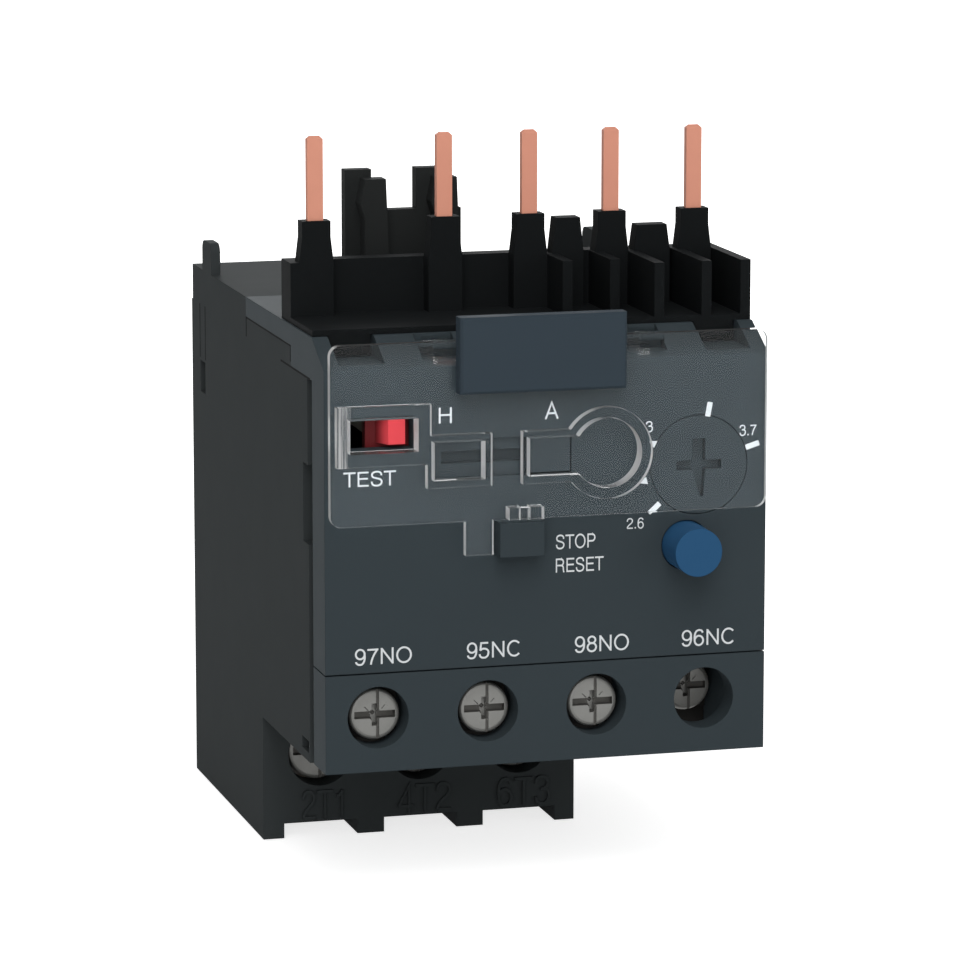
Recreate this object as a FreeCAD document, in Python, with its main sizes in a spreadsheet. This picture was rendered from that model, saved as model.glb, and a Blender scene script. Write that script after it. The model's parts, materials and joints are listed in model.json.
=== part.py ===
import FreeCAD, Part
import math
import os
import re
import Sketcher

# Thermal overload relay for a small motor contactor: three heated bimetal strips
# push a trip bar, which turns a lever and moves a contact carrier.
# X runs across the relay, Y runs from the front face to the rear, Z is up.
# The origin is under the middle of the whole relay, at the height of its feet.

os.makedirs("parts", exist_ok=True)
doc = FreeCAD.newDocument("ThermalOverloadRelay")
sheet = doc.addObject("Spreadsheet::Sheet", "Sizes")

# Driving sizes in millimetres. Places across are counted from the left side,
# places in depth from the front face and heights from the feet.
SIZES = {
    # overall
    "side_bay": 17.6, "body_depth": 60.3, "wall": 1.5, "seat_gap": 0.05, "part_gap": 0.15,
    "move_gap": 0.3,
    # front cover
    "bezel_depth": 4.9, "plate_thick": 1.8, "seam_rise": 4.35, "bezel_rim": 1.5,
    "chamfer_drop": 2.5, "chamfer_run": 4.8, "deck_thick": 2.1, "deck_reach": 33.9,
    "skirt_reach": 13.8, "skirt_drop": 4.2, "notch_inset": 1.6, "notch_width": 4.6,
    "notch_depth": 2.15, "notch_reach": 6.0, "boss_x": 17.0, "boss_width": 4.5,
    "boss_low_drop": 21.3, "boss_high_drop": 17.9, "boss_proud": 2.4,
    # aux terminal strip
    "front_bottom": 13.3, "strip_reach": 12.5, "aux_first": 5.3, "aux_last": 6.31,
    "aux_rise": 5.45, "well_radius": 3.08, "pocket_half": 3.1,
    "pocket_rise": 3.15, "strip_top_drop": 0.5, "lip_rise": 1.7, "lip_left_break_drop": 11.5,
    "lip_left_resume_drop": 6.2, "lip_front": 3.4, "lip_reach": 10.4, "lip_thick": 1.2,
    # rear housing
    "wall_front": 6.6, "wall_step": 8.9, "step_low_drop": 20.8, "step_high_drop": 12.9,
    "arm_front": 6.9, "shoulder": 13.0, "pole_edge": 6, "low_front": 27.55, "foot_height": 1.55,
    "floor_thick": 1.2, "bore_radius": 3.4, "power_rise": 6, "chamber_front": 31.2,
    "chamber_half": 3.9, "pole_first": 6.1, "pole_pitch": 10.65, "entry_half": 3.3,
    "entry_start": 32.7, "entry_long": 5.1, "rib_thick": 1.1, "rib_start": 38.0,
    "rib_top_drop": 10.8, "rear_step_height_drop": 3.8, "rear_step": 0.5, "slot_start": 53.8,
    "slot_long": 2.4, "slot_low_drop": 13.3, "slot_high_drop": 9.9, "latch_start": 7.0,
    "latch_long": 3, "latch_low": 13.9, "latch_tall": 1.2, "tab_start": 50.4, "tab_long": 4.4,
    "tab_thick": 1.0, "tab_height": 3.3, "tab_inset": 1.8, "tab_round": 1.0,
    # pins and comb
    "pin_1": 2.85, "pin_2_inset": 28.95, "pin_3_inset": 20.15, "pin_4_inset": 11.65,
    "pin_5_inset": 2.95, "pin_front": 14.9, "pin_thick": 0.8, "pin_width": 1.6, "pin_bare": 8.4,
    "pin_tip": 0.3, "comb_front": 14.5, "comb_back": 2.1, "comb_thick": 1.9, "comb_rise": 6,
    "comb_floor": 0.6, "comb_floor_front": 5.4, "comb_inset": 0.2, "tongue_gap": 0.2,
    "tongue_thick": 0.4, "tower_half": 1.75,
    "tower_top_half": 1.45, "tower_rise": 4.1, "tower_straight": 1.6, "post_rise": 3.6,
    "post_x_inset": 16.25, "post_half": 1.65, "post_top_half": 1.25, "post_b_rise": 2.6,
    "post_b_x_inset": 7.45, "post_b_half": 1.9, "post_b_top_half": 1.55, "fin_thick": 1.05,
    "fin_short": 9.0, "fin_long": 5.4, "fin_a_inset": 18.4, "fin_b_inset": 13.5,
    "fin_c_inset": 10, "fin_d_inset": 5.1,
    # contactor hooks
    "hook_x": 9.2, "hook_width": 12.2, "hook_setback": 7.5, "finger_deep": 2.0,
    "hook_deep": 3.6, "hook_base": 1.0, "hook_web_rise": 9.2, "hook_plate_rise": 13.4,
    "hook_plate_width": 2.75, "hook_pitch": 7.45, "hook_finger_rise": 12.6,
    "hook_finger_shift": 1.6, "hook_finger_width": 2.2, "hook_bulge": 0.5, "bulge_low_rise": 8.5,
    "bulge_high_rise": 11.8,
    # bus bars, links and poles
    "bus_low_drop": 5.2, "bus_thick": 0.8, "bus_end": 52.8, "jog_first": 31.0, "jog_pitch": 3.0,
    "leg_low_drop": 14.8, "link_low_drop": 7.2, "link_x_inset": 3.9, "link_thick": 0.8,
    "link_lap": 1, "aux_link_low_drop": 3.4, "aux_link_front": 13.2, "aux_link_depth": 1.0,
    "aux_link_lap": 2.4, "strip_thick": 0.8, "strip_front": 42.0, "strip_wide": 5,
    "strip_head_drop": 7.4, "strip_neck_drop": 12.8, "tip_front": 43.8, "tip_wide": 2,
    "tip_low_drop": 10.8, "heater_high_drop": 15.8, "heater_half": 1.1, "heater_margin": 0.5,
    "turn_count": 5, "turn_height": 1.0, "turn_proud": 0.4, "lead_half": 0.7, "lead_thick": 0.8,
    # power terminals
    "plate_front": 38.0, "plate_thick_power": 1.2, "plate_half": 3.0, "tongue_rise": 0.4,
    "upstand_rise": 8.6, "upstand_thick": 1.0, "power_thread": 1.75, "power_head": 3.1,
    "power_head_height": 2.0, "power_head_front": 29.3, "power_length": 11.7,
    "power_clamp_thick": 1.05, "power_clamp_half": 2.95,
    # aux terminals and contacts
    "aux_plate_front": 9.5, "aux_plate_thick": 1.0, "aux_plate_foot": 0.7, "aux_plate_rise": 3.05,
    "aux_thread": 1.5, "aux_head": 2.55, "aux_head_height": 1.8, "aux_head_front": 1.4,
    "aux_length": 9.5, "aux_travel": 4.4, "aux_clamp_thick": 0.8, "aux_clamp_half": 2.6,
    "screw_gap": 0.05, "no_plane": 12.6, "nc_plane": 15.5, "blade_thick": 0.6, "blade_half": 1.5,
    "no_rise": 4.4, "nc_rise": 7, "contact_high": 1.5, "no_blade_rise": 4.5, "no_span": 6.3,
    "nc_span": 6.9, "tip_half": 0.6, "tip_high": 0.35, "no_bridge": 15.2, "nc_bridge": 14.5,
    "bridge_overhang": 1.0, "drive_slot": 0.9, "drive_deep": 0.9, "drive_share": 0.75,
    # mechanism
    "trip_travel": 2.8, "bar_low_drop": 9.2, "bar_thick": 1.2, "bar_front": 42.4, "bar_wide": 5,
    "bar_end_inset": 3.8, "window_margin": 0.3, "window_deep": 3.0, "link_arm_x": 4.6,
    "link_arm_width": 2.0, "lever_x_inset": 5.5, "lever_y": 37.0, "lever_arm": 8.0,
    "lever_low_drop": 11.8, "lever_thick": 2.0, "push_arm": 4.3, "hub_radius": 2.0,
    "pivot_radius": 1.0, "drive_pin": 0.8, "lever_half": 1.5, "nose_radius": 1.2,
    "carrier_x_inset": 11, "carrier_width": 2.5, "carrier_front": 16.6, "carrier_deep": 2.4,
    "carrier_foot": 0.5, "arm_inset": 1.74, "ear_thick": 0.7, "nose_gap": 0.1, "slot_extra": 0.7,
    "frame_left_inset": 14, "frame_front": 11.9, "frame_thick": 0.8, "frame_drop": 0.4,
    "frame_high_drop": 5.4, "shelf_low_drop": 14.2, "shelf_front": 20.5, "shelf_rear": 50.0,
    "rail_inner_inset": 2.8,
    # test tab
    "test_x": 5.6, "test_width": 2.6, "test_low_drop": 10.1, "test_high_drop": 7.6,
    "window_left": 2.1, "window_wide": 6.8, "window_low_drop": 10.5, "window_high_drop": 7.2,
    "test_front": 0.4, "test_slope": 0.9, "test_lap": 0.7, "flange_thick": 1.2,
    # mode selector
    "select_x": 20.1, "select_width": 4.6, "select_low_drop": 13.4, "select_high_drop": 9.9,
    "select_travel": 9.4, "select_depth": 0.8, "slot_margin": 1.3,
    # setting dial
    "dial_x_inset": 7.1, "dial_z_drop": 13.4, "dial_radius": 4.95, "dial_gap": 0.08,
    "dial_flange": 5.25, "shaft_radius": 1.6, "cam_front": 5.9, "cam_thick": 2.2,
    "cam_radius": 2.6, "cam_rise": 0.9, "dial_turn_up": 133.0, "dial_turn_down": 66.0,
    "cross_top": 2.6, "cross_bottom": 3.2, "cross_side": 2.3, "cross_wide": 1.3,
    "cross_tail": 0.3, "cross_height": 0.9, "cross_deep": 0.8, "flange_front": 1.9,
    "dial_flange_thick": 0.8, "cam_steps": 9, "comp_thick": 0.6, "comp_low_drop": 17.2,
    "comp_pivot_drop": 6.8, "comp_eye": 1.1, "comp_pin": 0.6, "comp_offset": 3, "comp_inset": 0.2,
    # reset button
    "reset_x_inset": 8.3, "reset_rise": 11.25, "nest_lap": 0.05, "reset_radius": 2.4, "reset_gap": 0.1,
    "button_proud": 4.3, "reset_shoulder": 2.85, "shoulder_start": 2.9, "shoulder_thick": 1.2,
    "stem_half": 0.95, "stem_end": 9.0, "spring_radius": 2.0,
    "spring_wire": 0.25, "spring_turns": 5, "spring_steps": 8,
    # clear cover and marker plate
    "clear_gap": 0.2, "clear_thick": 0.9, "clear_inset": 0.35, "clear_low_drop": 17.8,
    "sheet_round": 1.1, "collar_proud": 1.0, "collar_wall": 1.3, "keyhole_x": 28.05,
    "keyhole_z_drop": 11.5, "keyhole_radius": 3.45, "key_wall": 1.1, "a_left": 20.1,
    "a_low_drop": 13.5, "a_high_drop": 9.7, "h_left": 10.5, "h_wide": 5.1, "hinge_y": 3.8,
    "hinge_drop": 0.9, "knuckle_radius": 0.8, "hinge_bar": 0.35, "knuckle_left": 10.8,
    "knuckle_right": 31.7, "knuckle_width": 2.5, "pocket_margin": 0.7, "hinge_clear": 0.3,
    "hinge_gap": 0.06, "arm_drop": 2.2, "clip_mouth": 0.56, "frame_slim": 0.7,
    "seal_x": 13.9, "seal_width": 2.8,
    "seal_low_drop": 21.2, "hasp_x": 17.9, "hasp_width": 3.5, "hasp_low_drop": 17.6,
    "hasp_high_drop": 16.4, "hasp_reach": 2.6, "hasp_hole": 0.5, "marker_x": 12.9,
    "marker_width": 16.8, "marker_low_drop": 5, "marker_tall": 7.5, "marker_thick": 1.8,
    "marker_edge": 0.25,
}

# Places worked out from the driving sizes.
PLACES = {
    "left": "-body_width / 2",
    "right": "body_width / 2",
    "front": "-(body_depth - button_proud) / 2",
    "rear": "front + body_depth",
    "inner_left": "left + wall",
    "inner_right": "right - wall",
    "reset_z": "seam_height + reset_rise",
    "dial_z": "reset_z + reset_shoulder + dial_flange - nest_lap",
    "deck_height": "dial_z + dial_z_drop",
    "deck_low": "deck_height - deck_thick",
    "skirt_low": "deck_height - skirt_drop",
    "pin_rear": "front + pin_front + pin_thick",
    "clear_out": "clear_gap + clear_thick",
    "hinge_line": "front + hinge_y",
    "body_width": "pole_first + 2 * pole_pitch + side_bay",
    "low_width": "pole_first + 2 * pole_pitch + pole_edge",
    "aux_pitch": "(body_width - aux_first - aux_last) / 3",
    "pin_2": "body_width - pin_2_inset",
    "pin_3": "body_width - pin_3_inset",
    "pin_4": "body_width - pin_4_inset",
    "pin_5": "body_width - pin_5_inset",
    "post_x": "body_width - post_x_inset",
    "post_b_x": "body_width - post_b_x_inset",
    "fin_a": "body_width - fin_a_inset",
    "fin_b": "body_width - fin_b_inset",
    "fin_c": "body_width - fin_c_inset",
    "fin_d": "body_width - fin_d_inset",
    "link_x": "body_width - link_x_inset",
    "dial_x": "body_width - dial_x_inset",
    "reset_x": "body_width - reset_x_inset",
    "lever_x": "body_width - lever_x_inset",
    "carrier_x": "body_width - carrier_x_inset",
    "frame_left": "body_width - frame_left_inset",
    "rail_inner": "body_width - rail_inner_inset",
    "bar_end": "body_width - bar_end_inset",
    "comp_x": "dial_x - comp_offset",
    "no_left": "no_right - no_span",
    "no_right": "aux_first + 2 * aux_pitch",
    "nc_left": "nc_right - nc_span",
    "nc_right": "aux_first + 3 * aux_pitch",
    "carrier_left": "no_left + arm_inset",
    "window_low": "deck_height - window_low_drop",
    "window_high": "deck_height - window_high_drop",
    "select_low": "deck_height - select_low_drop",
    "select_high": "deck_height - select_high_drop",
    "a_low": "deck_height - a_low_drop",
    "a_high": "deck_height - a_high_drop",
    "keyhole_z": "deck_height - keyhole_z_drop",
    "comp_pivot": "deck_height - comp_pivot_drop",
    "comp_low": "deck_height - comp_low_drop",
    "clear_low": "deck_height - clear_low_drop",
    "seal_low": "deck_height - seal_low_drop",
    "hasp_low": "deck_height - hasp_low_drop",
    "hasp_high": "deck_height - hasp_high_drop",
    "boss_low": "deck_height - boss_low_drop",
    "boss_high": "deck_height - boss_high_drop",
    "marker_low": "deck_height - marker_low_drop",
    "test_low": "deck_height - test_low_drop",
    "test_high": "deck_height - test_high_drop",
    "bar_low": "deck_height - bar_low_drop",
    "lever_low": "deck_height - lever_low_drop",
    "shelf_low": "deck_height - shelf_low_drop",
    "frame_high": "deck_height - frame_high_drop",
    "slot_low": "deck_height - slot_low_drop",
    "slot_high": "deck_height - slot_high_drop",
    "step_low": "deck_height - step_low_drop",
    "step_high": "deck_height - step_high_drop",
    "rear_step_height": "deck_height - rear_step_height_drop",
    "rib_top": "deck_height - rib_top_drop",
    "strip_top": "deck_height - strip_head_drop",
    "tip_low": "deck_height - tip_low_drop",
    "strip_neck": "deck_height - strip_neck_drop",
    "leg_low": "deck_height - leg_low_drop",
    "heater_high": "deck_height - heater_high_drop",
    "bus_low": "deck_height - bus_low_drop",
    "link_low": "deck_height - link_low_drop",
    "aux_link_low": "deck_height - aux_link_low_drop",
    "lip_left_break": "deck_height - lip_left_break_drop",
    "lip_left_resume": "deck_height - lip_left_resume_drop",
    "marker_high": "marker_low + marker_tall",
    "hinge_z": "deck_height - hinge_drop",
    "comb_height": "deck_height + comb_rise",
    "tower_height": "comb_height + tower_rise",
    "post_height": "comb_height + post_rise",
    "post_b_height": "comb_height + post_b_rise",
    "pin_top": "tower_height + pin_bare",
    "hook_web": "deck_height + hook_web_rise",
    "hook_plate": "deck_height + hook_plate_rise",
    "hook_finger": "deck_height + hook_finger_rise",
    "bulge_low": "deck_height + bulge_low_rise",
    "bulge_high": "deck_height + bulge_high_rise",
    "aux_height": "front_bottom + aux_rise",
    "seam_height": "aux_height + seam_rise",
    "pocket_top": "aux_height + pocket_rise",
    "pocket_start": "aux_head_front + aux_head_height + screw_gap - move_gap",
    "aux_plate_low": "front_bottom + aux_plate_foot",
    "aux_plate_high": "aux_height + aux_plate_rise",
    "lip_low": "seam_height + lip_rise",
    "frame_low": "seam_height - frame_drop",
    "no_low": "seam_height + no_rise",
    "no_top": "no_low + no_blade_rise",
    "nc_low": "no_low + nc_rise",
    "link_end": "nc_low - link_lap",
    "aux_link_end": "no_low + aux_link_lap",
    "carrier_low": "no_low - carrier_foot",
    "power_height": "foot_height + floor_thick + power_rise",
    "upstand_top": "tongue_top + upstand_rise",
    "tongue_top": "shoulder + tongue_rise",
    "cam_rear": "cam_front + cam_thick",
    "flange_rear": "flange_front + dial_flange_thick",
    "comb_wall": "comb_front + comb_thick",
    "comb_rear": "comb_wall + comb_back",
    "tip_rear": "tip_front + tip_wide",
    "strip_rear": "strip_front + strip_wide",
    "bar_rear": "bar_front + bar_wide",
    "carrier_rear": "carrier_front + carrier_deep",
    "shoulder_end": "shoulder_start + shoulder_thick",
    "slot_end": "slot_start + slot_long",
    "latch_end": "latch_start + latch_long",
    "latch_high": "latch_low + latch_tall",
    "tab_end": "tab_start + tab_long",
    "entry_end": "entry_start + entry_long",
    "hook_rear": "hook_front + hook_deep",
    "hook_front": "deck_reach - hook_setback",
    "hook_wall_front": "hook_front + finger_deep",
    "h_right": "h_left + h_wide",
    "window_right": "window_left + window_wide",
}

WORD = re.compile(r"[A-Za-z_][A-Za-z_0-9]*")


def ex(text):
    """Write a size expression with the cells of the sheet in place of its words."""
    def cell(match):
        word = match.group(0)
        if word in SIZES:
            return "Sizes." + word
        if word in PLACES:
            return "(" + ex(PLACES[word]) + ")"
        return word
    return WORD.sub(cell, str(text))


def value(text):
    """Give the number that an expression has now."""
    number = sheet.evalExpression(ex(text))
    return float(getattr(number, "Value", number))


for row, (alias, size) in enumerate(SIZES.items(), start=1):
    sheet.set("A%d" % row, alias)
    sheet.set("B%d" % row, str(size))
    sheet.setAlias("B%d" % row, alias)
doc.recompute()

# The sketch planes: which way a pad goes along each world axis.
PLANES = {
    "XY": {"role": "XY_Plane", "sign": 1},
    "XZ": {"role": "XZ_Plane", "sign": -1},
    "YZ": {"role": "YZ_Plane", "sign": 1},
}
bodies = []


def new_body(label):
    body = doc.addObject("PartDesign::Body", label)
    body.Label = label
    bodies.append(body)
    return body


def new_sketch(body, name, plane, offset):
    """Start a sketch parallel to a plane of the body's origin, at a world offset."""
    sketch = body.newObject("Sketcher::SketchObject", name)
    role = PLANES[plane]["role"]
    origin_plane = [f for f in body.Origin.OriginFeatures if f.Role == role][0]
    sketch.AttachmentSupport = [(origin_plane, "")]
    sketch.MapMode = "FlatFace"
    sign = "" if PLANES[plane]["sign"] > 0 else "-"
    sketch.setExpression("AttachmentOffset.Base.z", "%s(%s)" % (sign, ex(offset)))
    return sketch


def fix_point(sketch, edge, point, u, v):
    """Tie a point of the sketch to two sizes."""
    for kind, text in (("DistanceX", u), ("DistanceY", v)):
        rule = Sketcher.Constraint(kind, -1, 1, edge, point, value(text))
        index = sketch.addConstraint(rule)
        sketch.setExpression("Constraints[%d]" % index, ex(text))


def draw_outline(sketch, outline):
    """Draw a closed outline of straight lines through points given as sizes."""
    start = sketch.GeometryCount
    points = [FreeCAD.Vector(value(u), value(v), 0) for u, v in outline]
    count = len(points)
    for index, point in enumerate(points):
        sketch.addGeometry(Part.LineSegment(point, points[(index + 1) % count]), False)
    for index in range(count):
        following = start + (index + 1) % count
        sketch.addConstraint(Sketcher.Constraint("Coincident", start + index, 2, following, 1))
    for index, (u, v) in enumerate(outline):
        fix_point(sketch, start + index, 1, u, v)


def draw_circle(sketch, u, v, radius):
    centre = FreeCAD.Vector(value(u), value(v), 0)
    shape = Part.Circle(centre, FreeCAD.Vector(0, 0, 1), value(radius))
    edge = sketch.addGeometry(shape, False)
    fix_point(sketch, edge, 3, u, v)
    index = sketch.addConstraint(Sketcher.Constraint("Radius", edge, value(radius)))
    sketch.setExpression("Constraints[%d]" % index, ex(radius))


def extrude(body, sketch, name, plane, low, high, cut):
    """Pad or pocket a sketch from its offset, low, up to high along the world axis."""
    kind = "PartDesign::Pocket" if cut else "PartDesign::Pad"
    feature = body.newObject(kind, name)
    feature.Profile = sketch
    forward = PLANES[plane]["sign"] > 0
    feature.Reversed = forward if cut else not forward
    feature.setExpression("Length", "(%s) - (%s)" % (ex(high), ex(low)))
    sketch.Visibility = False
    return feature


def prism(body, name, plane, outline, low, high, cut=False):
    sketch = new_sketch(body, name + "_sketch", plane, low)
    draw_outline(sketch, outline)
    return extrude(body, sketch, name, plane, low, high, cut)


def disc(body, name, plane, u, v, radius, low, high, cut=False):
    sketch = new_sketch(body, name + "_sketch", plane, low)
    draw_circle(sketch, u, v, radius)
    return extrude(body, sketch, name, plane, low, high, cut)


def box(u_low, v_low, u_high, v_high):
    """The four corners of an upright rectangle."""
    return [(u_low, v_low), (u_high, v_low), (u_high, v_high), (u_low, v_high)]


def round_edges(body, name, radius, chosen):
    """Round the edges of the body's last feature that a test picks out."""
    doc.recompute()
    base = body.Tip
    names = ["Edge%d" % (i + 1) for i, edge in enumerate(base.Shape.Edges) if chosen(edge)]
    fillet = body.newObject("PartDesign::Fillet", name)
    fillet.Base = (base, names)
    fillet.setExpression("Radius", ex(radius))
    return fillet


def bevel_edges(body, name, size, chosen):
    """Bevel the edges of the body's last feature that a test picks out."""
    doc.recompute()
    base = body.Tip
    names = ["Edge%d" % (i + 1) for i, edge in enumerate(base.Shape.Edges) if chosen(edge)]
    chamfer = body.newObject("PartDesign::Chamfer", name)
    chamfer.Base = (base, names)
    chamfer.setExpression("Size", ex(size))
    return chamfer


def near(a, b):
    return abs(a - b) < 0.001


def runs_along(edge, axis):
    """True for a straight edge parallel to X, Y or Z."""
    if len(edge.Vertexes) != 2 or edge.Curve.TypeId != "Part::GeomLine":
        return False
    step = edge.Vertexes[1].Point - edge.Vertexes[0].Point
    return near(abs(step["XYZ".index(axis)]), step.Length)


def pole_x(index):
    """Middle of one power pole, counted from the left."""
    return "left + pole_first + %d * pole_pitch" % index


def aux_x(index):
    """Middle of one auxiliary terminal, counted from the left."""
    return "left + aux_first + %d * aux_pitch" % index


def both_sides(low, high):
    """A span at the left side, and the same span mirrored at the right side."""
    return [("left + " + low, "left + " + high), ("right - (" + high + ")", "right - (" + low + ")")]


def seal_wire_hole():
    """Square hole for a seal's wire, through the hasp and the boss under it."""
    x, y = "left + hasp_x + hasp_width / 2", "front - hasp_reach / 2"
    return box(x + " - hasp_hole", y + " - hasp_hole", x + " + hasp_hole", y + " + hasp_hole")


def make_rear_housing():
    """Hollow moulded body with the lower terminal block and its feet."""
    body = new_body("rear_housing")
    silhouette = [
        ("front + wall_front", "shoulder"), ("rear", "shoulder"), ("rear", "deck_height"),
        ("front + deck_reach", "deck_height"), ("front + deck_reach", "deck_low"),
        ("front + skirt_reach", "deck_low"), ("front + skirt_reach", "skirt_low"),
        ("front + arm_front", "skirt_low"), ("front + arm_front", "step_high"),
        ("front + wall_step", "step_high"), ("front + wall_step", "step_low"),
        ("front + wall_front", "step_low"),
    ]
    prism(body, "upper_block", "YZ", silhouette, "left", "right")
    lower = box("left", "foot_height", "left + low_width", "shoulder")
    prism(body, "lower_block", "XZ", lower, "front + low_front", "rear")
    edges = ["left"]
    for pole in range(3):
        edges.append(pole_x(pole) + " - chamber_half")
        edges.append(pole_x(pole) + " + chamber_half")
    edges.append("left + low_width")
    for foot in range(4):
        outline = box(edges[2 * foot], "0", edges[2 * foot + 1], "foot_height")
        prism(body, "foot_%d" % (foot + 1), "XZ", outline, "front + low_front", "rear")
    hollow = [
        ("front + strip_reach + seat_gap", "0"), ("front + strip_reach + seat_gap", "deck_height"),
        ("front", "deck_height"), ("front", "0"),
    ]
    prism(body, "front_mouth", "YZ", hollow, "inner_left", "inner_right", cut=True)
    hollow = [
        ("front", "shoulder + wall"), ("rear - wall", "shoulder + wall"),
        ("rear - wall", "deck_height - wall"), ("front + deck_reach", "deck_height - wall"),
        ("front + deck_reach", "deck_height"), ("front", "deck_height"),
    ]
    prism(body, "main_hollow", "YZ", hollow, "inner_left", "inner_right", cut=True)
    for pole in range(3):
        x = pole_x(pole)
        number = pole + 1
        chamber = box(x + " - chamber_half", "foot_height + floor_thick",
                      x + " + chamber_half", "shoulder + wall")
        prism(body, "chamber_%d" % number, "XZ", chamber, "front + chamber_front",
              "rear - wall", cut=True)
        disc(body, "driver_bore_%d" % number, "XZ", x, "power_height", "bore_radius",
             "front + low_front", "front + chamber_front", cut=True)
        entry = box(x + " - entry_half", "front + entry_start",
                    x + " + entry_half", "front + entry_end")
        prism(body, "wire_entry_%d" % number, "XY", entry, "0", "foot_height + floor_thick",
              cut=True)
        if pole < 2:
            middle = "(%s + pole_pitch / 2)" % x
            rib = box(middle + " - rib_thick / 2", "shoulder + wall",
                      middle + " + rib_thick / 2", "rib_top")
            prism(body, "pole_rib_%d" % number, "XZ", rib, "front + rib_start", "rear - wall")
    step = box("rear - rear_step", "rear_step_height", "rear", "deck_height")
    prism(body, "rear_step_cut", "YZ", step, "left", "right", cut=True)
    for side, (low, high) in zip(("left", "right"), both_sides("0", "wall")):
        slot = box("front + slot_start", "slot_low", "front + slot_end", "slot_high")
        prism(body, "latch_slot_" + side, "YZ", slot, low, high, cut=True)
        window = box("front + latch_start", "latch_low", "front + latch_end", "latch_high")
        prism(body, "snap_window_" + side, "YZ", window, low, high, cut=True)
    tab = box("front + tab_start", "deck_height", "front + tab_end", "deck_height + tab_height")
    prism(body, "left_tab", "YZ", tab, "left", "left + tab_thick")
    prism(body, "right_tab", "YZ", tab, "right - tab_inset - tab_thick", "right - tab_inset")
    tab_top = value("deck_height + tab_height")
    round_edges(body, "tab_rounding", "tab_round", lambda edge: runs_along(edge, "X")
                and near(edge.BoundBox.ZMin, tab_top) and near(edge.BoundBox.ZMax, tab_top))
    return body


def make_front_cover():
    """Slate front plate with its bevelled brow, and the deck that reaches back over the top."""
    body = new_body("front_cover")
    bottom = "seam_height + part_gap"
    silhouette = [
        ("front", bottom), ("front + bezel_depth", bottom), ("front + bezel_depth", "skirt_low"),
        ("front + skirt_reach", "skirt_low"), ("front + skirt_reach", "deck_low"),
        ("front + deck_reach", "deck_low"), ("front + deck_reach", "deck_height"),
        ("front + chamfer_run", "deck_height"), ("front", "deck_height - chamfer_drop"),
    ]
    prism(body, "shell", "YZ", silhouette, "left", "right")
    hollow = [
        ("front + plate_thick", bottom + " + bezel_rim"),
        ("front + bezel_depth", bottom + " + bezel_rim"), ("front + skirt_reach", "skirt_low"),
        ("front + skirt_reach", "deck_low"), ("front + arm_front", "deck_low"),
        ("front + arm_front", "skirt_low"), ("front + plate_thick", "skirt_low"),
    ]
    prism(body, "rear_hollow", "YZ", hollow, "inner_left", "inner_right", cut=True)
    lip_spans = [("left", "lip_low", "lip_left_break"), ("left", "lip_left_resume", "skirt_low"),
                 ("right", "lip_low", "skirt_low")]
    for index, (side, low, high) in enumerate(lip_spans, start=1):
        edge, sign = ("inner_left", "+") if side == "left" else ("inner_right", "-")
        seated = "%s %s part_gap" % (edge, sign)
        inside = "%s %s (part_gap + lip_thick)" % (edge, sign)
        outline = [
            (edge, "front + lip_front"), (inside, "front + lip_front"),
            (inside, "front + lip_reach"), (seated, "front + lip_reach"),
            (seated, "front + bezel_depth"), (edge, "front + bezel_depth"),
        ]
        prism(body, "inner_lip_%d" % index, "XY", outline, low, high)
    for side, (low, high) in zip(("left", "right"),
                                 both_sides("notch_inset", "notch_inset + notch_width")):
        notch = box("front", "deck_height - notch_depth", "front + notch_reach", "deck_height")
        prism(body, "brow_notch_" + side, "YZ", notch, low, high, cut=True)
    boss = box("left + boss_x", "boss_low", "left + boss_x + boss_width", "boss_high")
    prism(body, "seal_boss", "XZ", boss, "front - boss_proud", "front")
    prism(body, "seal_hole", "XY", seal_wire_hole(), "boss_low", "boss_high", cut=True)
    for index in range(5):
        x = "left + pin_%d" % (index + 1)
        slot = box(x + " - pin_width / 2 - part_gap", "front + pin_front - part_gap",
                   x + " + pin_width / 2 + part_gap", "pin_rear + part_gap")
        prism(body, "pin_slot_%d" % (index + 1), "XY", slot, "deck_low", "deck_height", cut=True)
    disc(body, "dial_hole", "XZ", "left + dial_x", "dial_z", "dial_radius + dial_gap",
         "front", "front + plate_thick", cut=True)
    disc(body, "reset_hole", "XZ", "left + reset_x", "reset_z", "reset_radius + reset_gap",
         "front", "front + plate_thick", cut=True)
    window = box("left + window_left", "window_low", "left + window_right", "window_high")
    prism(body, "test_window", "XZ", window, "front", "front + plate_thick", cut=True)
    track = box("left + select_x - select_travel - part_gap", "select_low - part_gap",
                "left + select_x + select_width + part_gap", "select_high + part_gap")
    prism(body, "selector_track", "XZ", track, "front", "front + select_depth", cut=True)
    slot = box("left + select_x - select_travel + slot_margin - part_gap",
               "select_low + slot_margin - part_gap",
               "left + select_x + select_width - slot_margin + part_gap",
               "select_high - slot_margin + part_gap")
    prism(body, "selector_slot", "XZ", slot, "front + select_depth", "front + plate_thick",
          cut=True)
    for index, start in enumerate(("knuckle_left", "knuckle_right"), start=1):
        low = "left + %s - pocket_margin" % start
        high = "left + %s + knuckle_width + pocket_margin" % start
        pocket = box("front", "hinge_z - knuckle_radius - hinge_clear",
                     "hinge_line + knuckle_radius + hinge_clear", "deck_height")
        prism(body, "hinge_pocket_%d" % index, "YZ", pocket, low, high, cut=True)
        disc(body, "hinge_bar_%d" % index, "YZ", "hinge_line", "hinge_z", "hinge_bar", low, high)
    return body


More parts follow.
